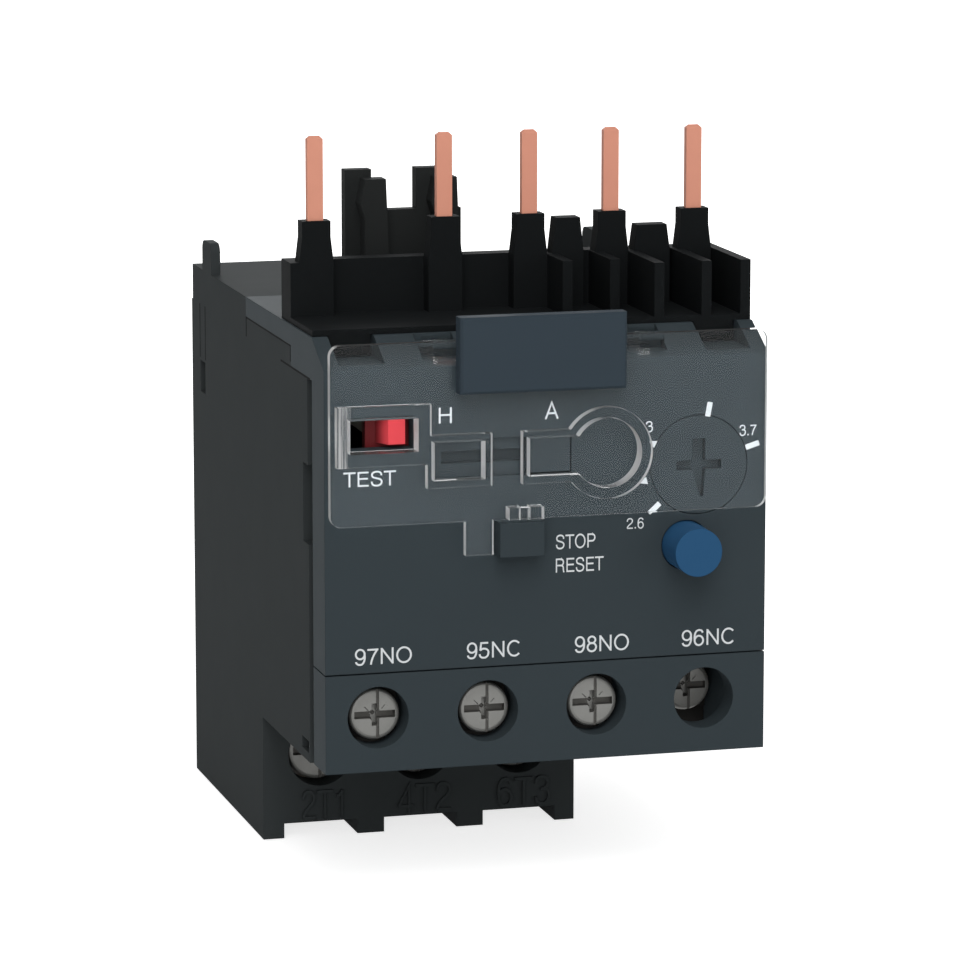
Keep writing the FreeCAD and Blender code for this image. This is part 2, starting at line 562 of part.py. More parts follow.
def make_aux_strip():
    """Lower front block with four screw wells, wire pockets open to below and behind."""
    body = new_body("aux_terminal_strip")
    outer = box("front", "front_bottom", "front + bezel_depth", "seam_height")
    prism(body, "front_block", "YZ", outer, "left", "right")
    inner = box("front + bezel_depth", "front_bottom", "front + strip_reach",
                "seam_height - strip_top_drop")
    prism(body, "inner_block", "YZ", inner, "inner_left + part_gap", "inner_right - part_gap")
    for index in range(4):
        x = aux_x(index)
        disc(body, "screw_well_%d" % (index + 1), "XZ", x, "aux_height", "well_radius",
             "front", "front + pocket_start", cut=True)
        pocket = box(x + " - pocket_half", "front_bottom", x + " + pocket_half", "pocket_top")
        prism(body, "wire_pocket_%d" % (index + 1), "XZ", pocket, "front + pocket_start",
              "front + strip_reach", cut=True)
    return body


def make_comb():
    """Black insulating comb: five pin towers, two plain posts and five barrier fins."""
    body = new_body("pin_comb")
    wall = box("left + comb_inset", "front + comb_wall", "right", "front + comb_rear")
    prism(body, "back_wall", "XY", wall, "deck_height", "comb_height")
    floor = box("left + comb_inset", "front + comb_floor_front", "right", "front + comb_wall")
    prism(body, "floor", "XY", floor, "deck_height", "deck_height + comb_floor")
    for side, (low, high) in zip(("left", "right"),
                                 both_sides("notch_inset + tongue_gap",
                                            "notch_inset + notch_width - tongue_gap")):
        tongue = box(low, "deck_height - notch_depth + tongue_gap", high, "deck_height")
        prism(body, "notch_tongue_" + side, "XZ", tongue, "front + comb_floor_front",
              "front + comb_floor_front + tongue_thick")
    for index in range(5):
        x = "left + pin_%d" % (index + 1)
        silhouette = [
            (x + " - tower_half", "deck_height"), (x + " + tower_half", "deck_height"),
            (x + " + tower_half", "comb_height"),
            (x + " + tower_top_half", "tower_height - tower_straight"),
            (x + " + tower_top_half", "tower_height"), (x + " - tower_top_half", "tower_height"),
            (x + " - tower_top_half", "tower_height - tower_straight"),
            (x + " - tower_half", "comb_height"),
        ]
        prism(body, "tower_%d" % (index + 1), "XZ", silhouette, "front + comb_front",
              "front + comb_wall")
    posts = [("post_x", "post_half", "post_top_half", "post_height"),
             ("post_b_x", "post_b_half", "post_b_top_half", "post_b_height")]
    for index, (x, half, top_half, height) in enumerate(posts, start=1):
        silhouette = [
            ("left + %s - %s" % (x, half), "deck_height"),
            ("left + %s + %s" % (x, half), "deck_height"),
            ("left + %s + %s" % (x, half), "comb_height"),
            ("left + %s + %s" % (x, top_half), height),
            ("left + %s - %s" % (x, top_half), height),
            ("left + %s - %s" % (x, half), "comb_height"),
        ]
        prism(body, "post_%d" % index, "XZ", silhouette, "front + comb_front",
              "front + comb_wall")
    fins = [("left + fin_a", "fin_short"), ("left + fin_b", "fin_short"),
            ("left + fin_c", "fin_long"), ("left + fin_d", "fin_long"),
            ("right - fin_thick", "fin_long")]
    for index, (x, start) in enumerate(fins, start=1):
        outline = box(x, "front + " + start, x + " + fin_thick", "front + comb_wall")
        prism(body, "fin_%d" % index, "XY", outline, "deck_height", "comb_height")
    root = box("left + comb_inset", "front + comb_front", "left + pin_1", "front + comb_wall")
    prism(body, "corner_block", "XY", root, "deck_height", "comb_height")
    for index in range(5):
        x = "left + pin_%d" % (index + 1)
        slot = box(x + " - pin_width / 2", "front + pin_front", x + " + pin_width / 2",
                   "pin_rear")
        prism(body, "pin_slot_%d" % (index + 1), "XY", slot, "deck_height", "tower_height",
              cut=True)
    return body


def make_hooks():
    """Black bracket behind the comb: two plates and two hooked fingers on one web."""
    body = new_body("contactor_hooks")
    base = box("left + hook_x", "front + hook_front", "left + hook_x + hook_width",
               "front + hook_rear")
    prism(body, "base", "XY", base, "deck_height", "deck_height + hook_base")
    web = box("left + hook_x", "deck_height", "left + hook_x + hook_width", "hook_web")
    prism(body, "web", "XZ", web, "front + hook_wall_front", "front + hook_rear")
    for side in range(2):
        x = "left + hook_x + %d * hook_pitch" % side
        plate = box(x, "deck_height", x + " + hook_plate_width", "hook_plate")
        prism(body, "plate_%d" % (side + 1), "XZ", plate, "front + hook_wall_front",
              "front + hook_rear")
        finger = x + " + hook_finger_shift"
        outline = [
            (finger, "deck_height"), (finger + " + hook_finger_width + hook_bulge", "deck_height"),
            (finger + " + hook_finger_width", "hook_finger"), (finger, "hook_finger"),
            (finger + " - hook_bulge", "(bulge_low + bulge_high) / 2"), (finger, "bulge_low"),
        ]
        prism(body, "finger_%d" % (side + 1), "XZ", outline, "front + hook_front",
              "front + hook_wall_front")
    return body


def make_power_pin(index):
    """Copper pin, its bus bar to one pole and the leg down to the heater."""
    body = new_body("power_pin_%d" % (index + 1))
    x = "left + pin_%d" % (index + 2)
    pole = pole_x(index)
    half = "pin_width / 2"
    jog = "front + jog_first + %d * jog_pitch" % index
    pin = box(x + " - " + half, "front + pin_front", x + " + " + half, "pin_rear")
    prism(body, "pin", "XY", pin, "bus_low", "pin_top")
    runs = [
        (x + " - " + half, "front + pin_front", x + " + " + half, jog),
        (pole + " - " + half, jog + " - pin_width", x + " + " + half, jog),
        (pole + " - " + half, jog + " - pin_width", pole + " + " + half, "front + bus_end"),
    ]
    for number, corners in enumerate(runs, start=1):
        prism(body, "bus_bar_%d" % number, "XY", box(*corners), "bus_low", "bus_low + bus_thick")
    leg = box(pole + " - " + half, "leg_low", pole + " + " + half, "bus_low")
    prism(body, "leg", "XZ", leg, "front + bus_end - bus_thick", "front + bus_end")
    top = value("pin_top")
    bevel_edges(body, "tip_bevel", "pin_tip", lambda edge: near(edge.BoundBox.ZMin, top))
    return body


def make_coil_link():
    """Copper pin for the coil terminal, linked across the relay to the fourth terminal."""
    body = new_body("coil_link_pin")
    x = "left + pin_1"
    half = "pin_width / 2"
    pin = box(x + " - " + half, "front + pin_front", x + " + " + half, "pin_rear")
    prism(body, "pin", "XY", pin, "link_low", "pin_top")
    bar = box(x + " - " + half, "front + pin_front", "left + link_x + link_thick", "pin_rear")
    prism(body, "cross_bar", "XY", bar, "link_low", "link_low + link_thick")
    leg = box("left + link_x", "link_end", "left + link_x + link_thick", "link_low")
    prism(body, "leg", "XZ", leg, "front + nc_plane - strip_thick", "front + nc_plane")
    joint = box("left + link_x", "front + nc_plane - strip_thick",
                "left + link_x + link_thick", "pin_rear")
    prism(body, "corner", "XY", joint, "link_low", "link_low + link_thick")
    top = value("pin_top")
    bevel_edges(body, "tip_bevel", "pin_tip", lambda edge: near(edge.BoundBox.ZMin, top))
    return body


def make_aux_link():
    """Copper pin for the contactor's auxiliary terminal, linked down to the third terminal."""
    body = new_body("aux_link_pin")
    x = "left + pin_5"
    half = "pin_width / 2"
    pin = box(x + " - " + half, "front + pin_front", x + " + " + half, "pin_rear")
    prism(body, "pin", "XY", pin, "aux_link_low", "pin_top")
    depth = "front + aux_link_front + aux_link_depth"
    stub = box(x + " - " + half, "front + aux_link_front", x + " + " + half, "pin_rear")
    prism(body, "stub", "XY", stub, "aux_link_low", "aux_link_low + link_thick")
    bar = box(aux_x(2), "front + aux_link_front", x + " + " + half, depth)
    prism(body, "cross_bar", "XY", bar, "aux_link_low", "aux_link_low + link_thick")
    leg = box(aux_x(2), "aux_link_end", aux_x(2) + " + link_thick", "aux_link_low")
    prism(body, "leg", "XZ", leg, "front + aux_link_front", depth)
    top = value("pin_top")
    bevel_edges(body, "tip_bevel", "pin_tip", lambda edge: near(edge.BoundBox.ZMin, top))
    return body


def make_bimetal(index):
    """Bimetal strip standing on its terminal, with a narrow tip for the trip bar."""
    body = new_body("bimetal_%d" % (index + 1))
    outline = [
        ("front + strip_front", "tongue_top"), ("front + strip_rear", "tongue_top"),
        ("front + strip_rear", "strip_neck"), ("front + tip_rear", "tip_low"),
        ("front + tip_rear", "strip_top"), ("front + tip_front", "strip_top"),
        ("front + tip_front", "tip_low"), ("front + strip_front", "strip_neck"),
    ]
    x = pole_x(index)
    prism(body, "strip", "YZ", outline, x + " - strip_thick / 2", x + " + strip_thick / 2")
    return body


def make_heater(index):
    """Ribbon heater wound round the bimetal, with its lead to the bus bar."""
    body = new_body("heater_winding_%d" % (index + 1))
    x = pole_x(index)
    core = box(x + " - heater_half", "front + strip_front - heater_margin",
               x + " + heater_half", "front + strip_rear + heater_margin")
    prism(body, "core", "XY", core, "upstand_top", "heater_high")
    turn = box(x + " - heater_half - turn_proud",
               "front + strip_front - heater_margin - turn_proud",
               x + " + heater_half + turn_proud",
               "front + strip_rear + heater_margin + turn_proud")
    first = prism(body, "turn", "XY", turn, "upstand_top", "upstand_top + turn_height")
    doc.recompute()
    pattern = body.newObject("PartDesign::LinearPattern", "turns")
    pattern.Originals = [first]
    pattern.Direction = (body.Origin.OriginFeatures[2], [""])
    pattern.setExpression("Length", ex("heater_high - upstand_top - turn_height"))
    pattern.setExpression("Occurrences", ex("turn_count"))
    body.Tip = pattern
    lead = box(x + " - lead_half", "front + strip_rear", x + " + lead_half",
               "front + bus_end - bus_thick")
    prism(body, "lead", "XY", lead, "leg_low", "leg_low + lead_thick")
    collar = box(x + " - heater_half", "front + strip_rear", x + " + heater_half",
                 "front + strip_rear + heater_margin")
    prism(body, "lead_foot", "XY", collar, "heater_high", "leg_low + lead_thick")
    passage = box(x + " - strip_thick / 2 - part_gap", "front + strip_front - part_gap",
                  x + " + strip_thick / 2 + part_gap", "front + strip_rear + part_gap")
    prism(body, "passage", "XY", passage, "upstand_top", "leg_low + lead_thick", cut=True)
    return body


def make_power_terminal(index):
    """Bent terminal plate with the screw thread and the upstand that holds the bimetal."""
    body = new_body("power_terminal_%d" % (index + 1))
    x = pole_x(index)
    outline = [
        ("front + plate_front", "foot_height + floor_thick"),
        ("front + plate_front + plate_thick_power", "foot_height + floor_thick"),
        ("front + plate_front + plate_thick_power", "tongue_top - plate_thick_power"),
        ("front + strip_rear", "tongue_top - plate_thick_power"),
        ("front + strip_rear", "tongue_top"), ("front + plate_front", "tongue_top"),
    ]
    prism(body, "plate", "YZ", outline, x + " - plate_half", x + " + plate_half")
    upstand = box("front + strip_front", "tongue_top", "front + strip_rear", "upstand_top")
    prism(body, "upstand", "YZ", upstand, x + " + strip_thick / 2",
          x + " + strip_thick / 2 + upstand_thick")
    disc(body, "thread", "XZ", x, "power_height", "power_thread + screw_gap",
         "front + plate_front", "front + plate_front + plate_thick_power", cut=True)
    return body


def make_aux_terminal(index):
    """Auxiliary terminal plate with its thread and the strip up to a fixed contact."""
    names = ("97", "95", "98", "96")
    body = new_body("aux_terminal_" + names[index])
    x = aux_x(index)
    normally_open = index in (0, 2)
    plane = "front + no_plane" if normally_open else "front + nc_plane"
    top = "no_top" if index == 2 else "no_low + contact_high"
    if not normally_open:
        top = "nc_low + contact_high"
    plate = box(x + " - pocket_half", "aux_plate_low", x + " + pocket_half", "aux_plate_high")
    prism(body, "plate", "XZ", plate, "front + aux_plate_front",
          "front + aux_plate_front + aux_plate_thick")
    tongue = box(x + " - blade_half", "front + aux_plate_front", x + " + blade_half",
                 plane + " + blade_thick")
    prism(body, "tongue", "XY", tongue, "aux_plate_high - strip_thick", "aux_plate_high")
    blade = box(x + " - blade_half", "aux_plate_high - strip_thick", x + " + blade_half", top)
    prism(body, "blade", "XZ", blade, plane, plane + " + blade_thick")
    arms = {
        0: box(x + " - blade_half", "no_low", "left + no_left + blade_half",
               "no_low + contact_high"),
        1: box(x + " - blade_half", "nc_low", "left + nc_left + blade_half / 2",
               "nc_low + contact_high"),
        3: box(x, "link_end", "left + link_x + link_thick", "nc_low + contact_high"),
    }
    if index in arms:
        prism(body, "arm", "XZ", arms[index], plane, plane + " + blade_thick")
    disc(body, "thread", "XZ", x, "aux_height", "aux_thread + screw_gap",
         "front + aux_plate_front", "front + aux_plate_front + aux_plate_thick", cut=True)
    return body


def make_screw(label, radius, head, head_height, head_front, length, place):
    """Terminal screw with a cheese head and crossed drive slots, its axis along Y."""
    body = new_body(label)
    outline = [
        ("0", "0"), (head, "0"), (head, head_height), (radius, head_height),
        (radius, length), ("0", length),
    ]
    sketch = new_sketch(body, "profile", "XY", "0")
    draw_outline(sketch, outline)
    turned = body.newObject("PartDesign::Revolution", "turned")
    turned.Profile = sketch
    turned.ReferenceAxis = (sketch, ["V_Axis"])
    turned.Angle = 360
    sketch.Visibility = False
    reach = head + " * drive_share"
    bar = "drive_slot / 2"
    cross = [
        ("-(%s)" % bar, "-(%s)" % reach), (bar, "-(%s)" % reach), (bar, "-(%s)" % bar),
        (reach, "-(%s)" % bar), (reach, bar), (bar, bar), (bar, reach),
        ("-(%s)" % bar, reach), ("-(%s)" % bar, bar), ("-(%s)" % reach, bar),
        ("-(%s)" % reach, "-(%s)" % bar), ("-(%s)" % bar, "-(%s)" % bar),
    ]
    prism(body, "drive", "XZ", cross, "0", "drive_deep", cut=True)
    x, y, z = place
    body.setExpression("Placement.Base.x", ex(x))
    body.setExpression("Placement.Base.y", ex("front + %s + %s" % (head_front, y)))
    body.setExpression("Placement.Base.z", ex(z))
    return body


def make_clamp(label, half, thick, radius, x, z, y, low, high):
    """Square clamp washer that rides under a terminal screw's head."""
    body = new_body(label)
    outline = box(x + " - " + half, low, x + " + " + half, high)
    prism(body, "washer", "XZ", outline, y, "%s + %s" % (y, thick))
    disc(body, "screw_hole", "XZ", x, z, radius + " + screw_gap", y, "%s + %s" % (y, thick),
         cut=True)
    return body


def make_reset_button():
    """Blue push button with a square shoulder behind the plate and a stem for the spring."""
    body = new_body("reset_button")
    x, z = "left + reset_x", "reset_z"
    disc(body, "cap", "XZ", x, z, "reset_radius", "front - button_proud", "front + shoulder_start")
    shoulder = box(x + " - reset_shoulder", z + " - reset_shoulder",
                   x + " + reset_shoulder", z + " + reset_shoulder")
    prism(body, "shoulder", "XZ", shoulder, "front + shoulder_start", "front + shoulder_end")
    stem = box(x + " - stem_half", z + " - stem_half", x + " + stem_half", z + " + stem_half")
    prism(body, "stem", "XZ", stem, "front + shoulder_end", "front + stem_end")
    return body


def make_test_tab():
    """Red tab in the test window, with a dark flange behind the window's edges."""
    body = new_body("test_tab")
    head = [
        ("left + test_x", "front + plate_thick + move_gap"),
        ("left + test_x + test_width", "front + plate_thick + move_gap"),
        ("left + test_x + test_width", "front + test_front"),
        ("left + test_x + test_slope", "front + test_front"),
    ]
    prism(body, "head", "XY", head, "test_low", "test_high")
    flange = box("left + link_arm_x", "window_low - test_lap",
                 "left + window_right + test_lap", "window_high + test_lap")
    prism(body, "flange", "XZ", flange, "front + plate_thick + move_gap",
          "front + plate_thick + move_gap + flange_thick")
    return body


def make_trip_bar():
    """Sliding bar with a window over each bimetal tip, an arm to the test tab and a drive pin."""
    body = new_body("trip_bar")
    arm_front = "front + plate_thick + move_gap + flange_thick"
    outline = [
        ("left + link_arm_x", arm_front), ("left + link_arm_x + link_arm_width", arm_front),
        ("left + link_arm_x + link_arm_width", "front + bar_front"),
        ("left + bar_end", "front + bar_front"), ("left + bar_end", "front + bar_rear"),
        ("left + link_arm_x", "front + bar_rear"),
    ]
    prism(body, "bar", "XY", outline, "bar_low", "bar_low + bar_thick")
    for index in range(3):
        x = pole_x(index)
        window = box(x + " - strip_thick / 2 - window_margin",
                     "front + (bar_front + bar_rear) / 2 - window_deep / 2",
                     x + " + strip_thick / 2 + window_margin + trip_travel",
                     "front + (bar_front + bar_rear) / 2 + window_deep / 2")
        prism(body, "window_%d" % (index + 1), "XY", window, "bar_low", "bar_low + bar_thick",
              cut=True)
    disc(body, "drive_pin", "XY", "left + lever_x", "front + lever_y + lever_arm", "drive_pin",
         "lever_low + move_gap", "bar_low")
    return body


def make_trip_lever():
    """Bell-crank: a slotted arm to the bar's drive pin and a rounded nose for the carrier."""
    body = new_body("trip_lever")
    x, y = "left + lever_x", "front + lever_y"
    top = "lever_low + lever_thick"
    disc(body, "hub", "XY", x, y, "hub_radius", "lever_low", top)
    arm = box(x + " - lever_half", y, x + " + lever_half", y + " + lever_arm + hub_radius")
    prism(body, "arm", "XY", arm, "lever_low", top)
    push = box(x + " - push_arm", y + " - nose_radius", x, y + " + nose_radius")
    prism(body, "push_arm", "XY", push, "lever_low", top)
    disc(body, "nose", "XY", x + " - push_arm", y, "nose_radius", "lever_low", top)
    play = "(drive_pin + part_gap)"
    slot = box(x + " - " + play, y + " + lever_arm - " + play,
               x + " + " + play, y + " + lever_arm + " + play + " + slot_extra")
    prism(body, "slot", "XY", slot, "lever_low", top, cut=True)
    disc(body, "pivot_hole", "XY", x, y, "pivot_radius + screw_gap", "lever_low", top, cut=True)
    return body


def make_carrier():
    """Moulded slide between the lever's nose and the two bridging contacts."""
    body = new_body("contact_carrier")
    x = "left + carrier_x"
    top = "lever_low + lever_thick - move_gap"
    nose_clear = "front + lever_y - nose_radius - nose_gap"
    post = box(x, "front + carrier_front", x + " + carrier_width", "front + carrier_rear")
    prism(body, "post", "XY", post, "carrier_low", top)
    tail = box(x, "front + carrier_front", x + " + carrier_width", nose_clear)
    prism(body, "tail", "XY", tail, "lever_low", top)
    arm = box("left + carrier_left", "front + carrier_front", x, "front + carrier_rear")
    prism(body, "open_arm", "XY", arm, "carrier_low", "no_low + contact_high + ear_thick")
    grips = [
        ("open", "left + carrier_left", "no_bridge", "no_low"),
        ("closed", x, "nc_bridge", "nc_low"),
    ]
    for name, low_x, plane, height in grips:
        block = box(low_x, height + " - ear_thick", low_x + " + carrier_width",
                    height + " + contact_high + ear_thick")
        prism(body, name + "_grip", "XZ", block, "front + " + plane, "front + carrier_front")
        channel = box(low_x, height, low_x + " + carrier_width", height + " + contact_high")
        prism(body, name + "_channel", "XZ", channel, "front + " + plane,
              "front + %s + blade_thick" % plane, cut=True)
    return body


def make_bridge(label, plane, height, first, last, forward):
    """Bridging contact: a blade with a square contact tip near each end."""
    body = new_body(label)
    blade = box("left + %s - bridge_overhang" % first, height,
                "left + %s + bridge_overhang" % last, height + " + contact_high")
    prism(body, "blade", "XZ", blade, "front + " + plane, "front + %s + blade_thick" % plane)
    for index, x in enumerate((first, last), start=1):
        middle = height + " + contact_high / 2"
        if forward:
            low, high = "front + %s - tip_high" % plane, "front + " + plane
        else:
            low = "front + %s + blade_thick" % plane
            high = low + " + tip_high"
        tip = box("left + %s - tip_half" % x, middle + " - tip_half",
                  "left + %s + tip_half" % x, middle + " + tip_half")
        prism(body, "tip_%d" % index, "XZ", tip, low, high)
    return body


def make_mechanism_frame():
    """Inner moulding that carries the dial's shaft, the lever's pivot and the strip's pin."""
    body = new_body("mechanism_frame")
    rear = "front + frame_front + frame_thick"
    plate = box("left + frame_left", "frame_low", "inner_right", "frame_high")
    prism(body, "plate", "XZ", plate, "front + frame_front", rear)
    rail = box("left + rail_inner", "front + frame_front", "inner_right", "front + shelf_rear")
    prism(body, "rail", "XY", rail, "shelf_low", "lever_low + lever_thick")
    shelf = box("left + carrier_x", "front + shelf_front", "left + rail_inner",
                "front + shelf_rear")
    prism(body, "shelf", "XY", shelf, "shelf_low", "lever_low - move_gap")
    disc(body, "shaft_hole", "XZ", "left + dial_x", "dial_z", "shaft_radius + screw_gap",
         "front + frame_front", rear, cut=True)
    disc(body, "lever_pivot", "XY", "left + lever_x", "front + lever_y", "pivot_radius",
         "lever_low - move_gap", "lever_low + lever_thick")
    disc(body, "strip_pin", "XZ", "left + comp_x", "comp_pivot", "comp_pin",
         "front + cam_front", "front + frame_front")
    return body


def make_dial():
    """Setting dial: face with a cross slot, hidden flange, shaft and spiral cam."""
    body = new_body("setting_dial")
    x, z = "left + dial_x", "dial_z"
    disc(body, "face", "XZ", x, z, "dial_radius", "front", "front + flange_front")
    disc(body, "flange", "XZ", x, z, "dial_flange", "front + flange_front",
         "front + flange_rear")
    disc(body, "shaft", "XZ", x, z, "shaft_radius", "front + flange_rear",
         "front + frame_front + frame_thick")
    turn = "(dial_turn_up + dial_turn_down)"
    steps = SIZES["cam_steps"]
    outline = []
    for step in range(steps + 1):
        angle = "(180 + dial_turn_down - %s * %d / cam_steps) * 1 deg" % (turn, step)
        radius = "(cam_radius - cam_rise * (dial_turn_down / %s - %d / cam_steps))" % (turn, step)
        outline.append((x + " + %s * cos(%s)" % (radius, angle),
                        z + " + %s * sin(%s)" % (radius, angle)))
    closing = "(180 - dial_turn_up - %d) * 1 deg"
    for extra in (55, 110):
        angle = closing % extra
        radius = "(cam_radius - cam_rise * dial_turn_down / %s)" % turn
        outline.append((x + " + %s * cos(%s)" % (radius, angle),
                        z + " + %s * sin(%s)" % (radius, angle)))
    prism(body, "cam", "XZ", outline, "front + cam_front", "front + cam_rear")
    wide, side, high = "cross_wide / 2", "cross_side", "cross_height / 2"
    cross = [
        (x + " - " + wide, z + " + cross_top"), (x + " - " + wide, z + " + " + high),
        (x + " - " + side, z + " + " + high), (x + " - " + side, z + " - " + high),
        (x + " - " + wide, z + " - " + high), (x + " + cross_tail / 2", z + " - cross_bottom"),
        (x + " + cross_tail * 1.5", z + " - cross_bottom"), (x + " + " + wide, z + " - " + high),
        (x + " + " + side, z + " - " + high), (x + " + " + side, z + " + " + high),
        (x + " + " + wide, z + " + " + high), (x + " + " + wide, z + " + cross_top"),
    ]
    prism(body, "cross_slot", "XZ", cross, "front", "front + cross_deep", cut=True)
    return body


def make_compensation_strip():
    """Short bimetal that hangs beside the dial's cam and follows it."""
    body = new_body("compensation_strip")
    x = "left + comp_x"
    blade = box(x + " - comp_thick / 2", "comp_low", x + " + comp_thick / 2", "comp_pivot")
    prism(body, "blade", "XZ", blade, "front + cam_front + comp_inset",
          "front + cam_rear - comp_inset")
    eye = box(x + " - comp_eye", "comp_pivot - comp_eye", x + " + comp_eye",
              "comp_pivot + comp_eye")
    prism(body, "eye", "XZ", eye, "front + cam_front + comp_inset",
          "front + cam_rear - comp_inset")
    disc(body, "eye_hole", "XZ", x, "comp_pivot", "comp_pin + screw_gap",
         "front + cam_front + comp_inset", "front + cam_rear - comp_inset", cut=True)
    return body


def make_selector():
    """Slide between automatic and manual reset, held in its track by a retainer behind."""
    body = new_body("mode_selector")
    low, high = "left + select_x", "left + select_x + select_width"
    plate = box(low, "select_low", high, "select_high")
    prism(body, "plate", "XZ", plate, "front", "front + select_depth - screw_gap")
    stem = box(low + " + slot_margin", "select_low + slot_margin",
               high + " - slot_margin", "select_high - slot_margin")
    prism(body, "stem", "XZ", stem, "front + select_depth - screw_gap",
          "front + plate_thick + screw_gap")
    keeper = box(low + " - part_gap", "select_low", high + " + part_gap", "select_high")
    prism(body, "keeper", "XZ", keeper, "front + plate_thick + screw_gap",
          "front + plate_thick + screw_gap + flange_thick")
    return body


def make_clear_cover():
    """Transparent flap over the settings: flat sheet, hinge arms, collars and seal tab."""
    body = new_body("clear_cover")
    outside, inside = "front - clear_out", "front - clear_gap"
    sheet_outline = box("left + clear_inset", "clear_low", "right - clear_inset", "deck_height")
    prism(body, "sheet", "XZ", sheet_outline, outside, inside)
    round_edges(body, "sheet_corners", "sheet_round", lambda edge: runs_along(edge, "Y"))
    for index, start in enumerate(("knuckle_left", "knuckle_right"), start=1):
        low = "left + " + start
        high = low + " + knuckle_width"
        arm = [
            (inside, "deck_height - arm_drop"), ("front + arm_drop / 2", "hinge_z - knuckle_radius"),
            ("hinge_line", "hinge_z - knuckle_radius"),
            ("hinge_line", "hinge_z + knuckle_radius"), (inside, "hinge_z + knuckle_radius"),
        ]
        prism(body, "hinge_arm_%d" % index, "YZ", arm, low, high)
        disc(body, "knuckle_%d" % index, "YZ", "hinge_line", "hinge_z", "knuckle_radius",
             low, high)
        disc(body, "knuckle_eye_%d" % index, "YZ", "hinge_line", "hinge_z",
             "hinge_bar + hinge_gap", low, high, cut=True)
        mouth = box("hinge_line - clip_mouth / 2", "hinge_z - knuckle_radius",
                    "hinge_line + clip_mouth / 2", "hinge_z")
        prism(body, "clip_mouth_%d" % index, "YZ", mouth, low, high, cut=True)
    proud = outside + " - collar_proud"
    openings = {
        "test": ("left + window_left", "window_low", "left + window_right", "window_high",
                 "collar_wall"),
        "hand": ("left + h_left", "a_low", "left + h_right", "a_high", "frame_slim"),
        "auto": ("left + a_left", "a_low", "left + keyhole_x", "a_high", "frame_slim"),
    }
    for name, (low_x, low_z, high_x, high_z, rim) in openings.items():
        frame = box("%s - %s" % (low_x, rim), "%s - %s" % (low_z, rim),
                    "%s + %s" % (high_x, rim), "%s + %s" % (high_z, rim))
        prism(body, name + "_collar", "XZ", frame, proud, outside)
    disc(body, "key_collar", "XZ", "left + keyhole_x", "keyhole_z", "keyhole_radius + key_wall",
         proud, outside)
    for name, (low_x, low_z, high_x, high_z, rim) in openings.items():
        hole = box(low_x, low_z, high_x, high_z)
        prism(body, name + "_opening", "XZ", hole, proud, inside, cut=True)
    disc(body, "key_opening", "XZ", "left + keyhole_x", "keyhole_z", "keyhole_radius",
         proud, inside, cut=True)
    tab = box("left + seal_x", "seal_low", "left + seal_x + seal_width", "clear_low")
    prism(body, "seal_tab", "XZ", tab, outside, inside)
    hasp = box("left + hasp_x", "hasp_low", "left + hasp_x + hasp_width", "hasp_high")
    prism(body, "hasp", "XZ", hasp, "front - hasp_reach", outside)
    prism(body, "hasp_hole", "XY", seal_wire_hole(), "clear_low", "hasp_high", cut=True)
    return body


def make_marker_plate():
    """Opaque plate on the clear cover, for the user's own marking."""
    body = new_body("marker_plate")
    outline = box("left + marker_x", "marker_low", "left + marker_x + marker_width",
                  "marker_high")
    prism(body, "plate", "XZ", outline, "front - clear_out - marker_thick", "front - clear_out")
    face = value("front - clear_out - marker_thick")
    bevel_edges(body, "edge_bevel", "marker_edge", lambda edge: near(edge.BoundBox.YMin, face)
                and near(edge.BoundBox.YMax, face))
    return body


def make_reset_spring():
    """Coil spring between the button's shoulder and the mechanism frame, in short straight steps."""
    wire = value("spring_wire")
    start = value("front + shoulder_end") + wire
    length = value("front + frame_front") - wire - start
    count = round(value("spring_turns * spring_steps"))
    turn = 2 * math.pi / value("spring_steps")
    rings = []
    for step in range(count + 1):
        out = FreeCAD.Vector(math.cos(step * turn), 0, math.sin(step * turn))
        along = FreeCAD.Vector(0, 1, 0)
        middle = FreeCAD.Vector(value("left + reset_x"), start + length * step / count,
                                value("reset_z")) + out * value("spring_radius")
        corners = [middle + out * wire, middle + along * wire,
                   middle - out * wire, middle - along * wire]
        rings.append(corners)
    faces = []
    for low, high in zip(rings, rings[1:]):
        for side in range(4):
            after = (side + 1) % 4
            for corners in ((low[side], low[after], high[after]),
                            (low[side], high[after], high[side])):
                faces.append(Part.Face(Part.makePolygon(list(corners) + [corners[0]])))
    for corners in (rings[0], rings[-1]):
        faces.append(Part.Face(Part.makePolygon(corners + [corners[0]])))
    shell = Part.Shell(faces)
    shell.sewShape()
    solid = Part.Solid(shell)
    if solid.Volume < 0:
        solid.reverse()
    spring = doc.addObject("Part::Feature", "reset_spring")
    spring.Label = "reset_spring"
    spring.Shape = solid
    bodies.append(spring)
    return spring


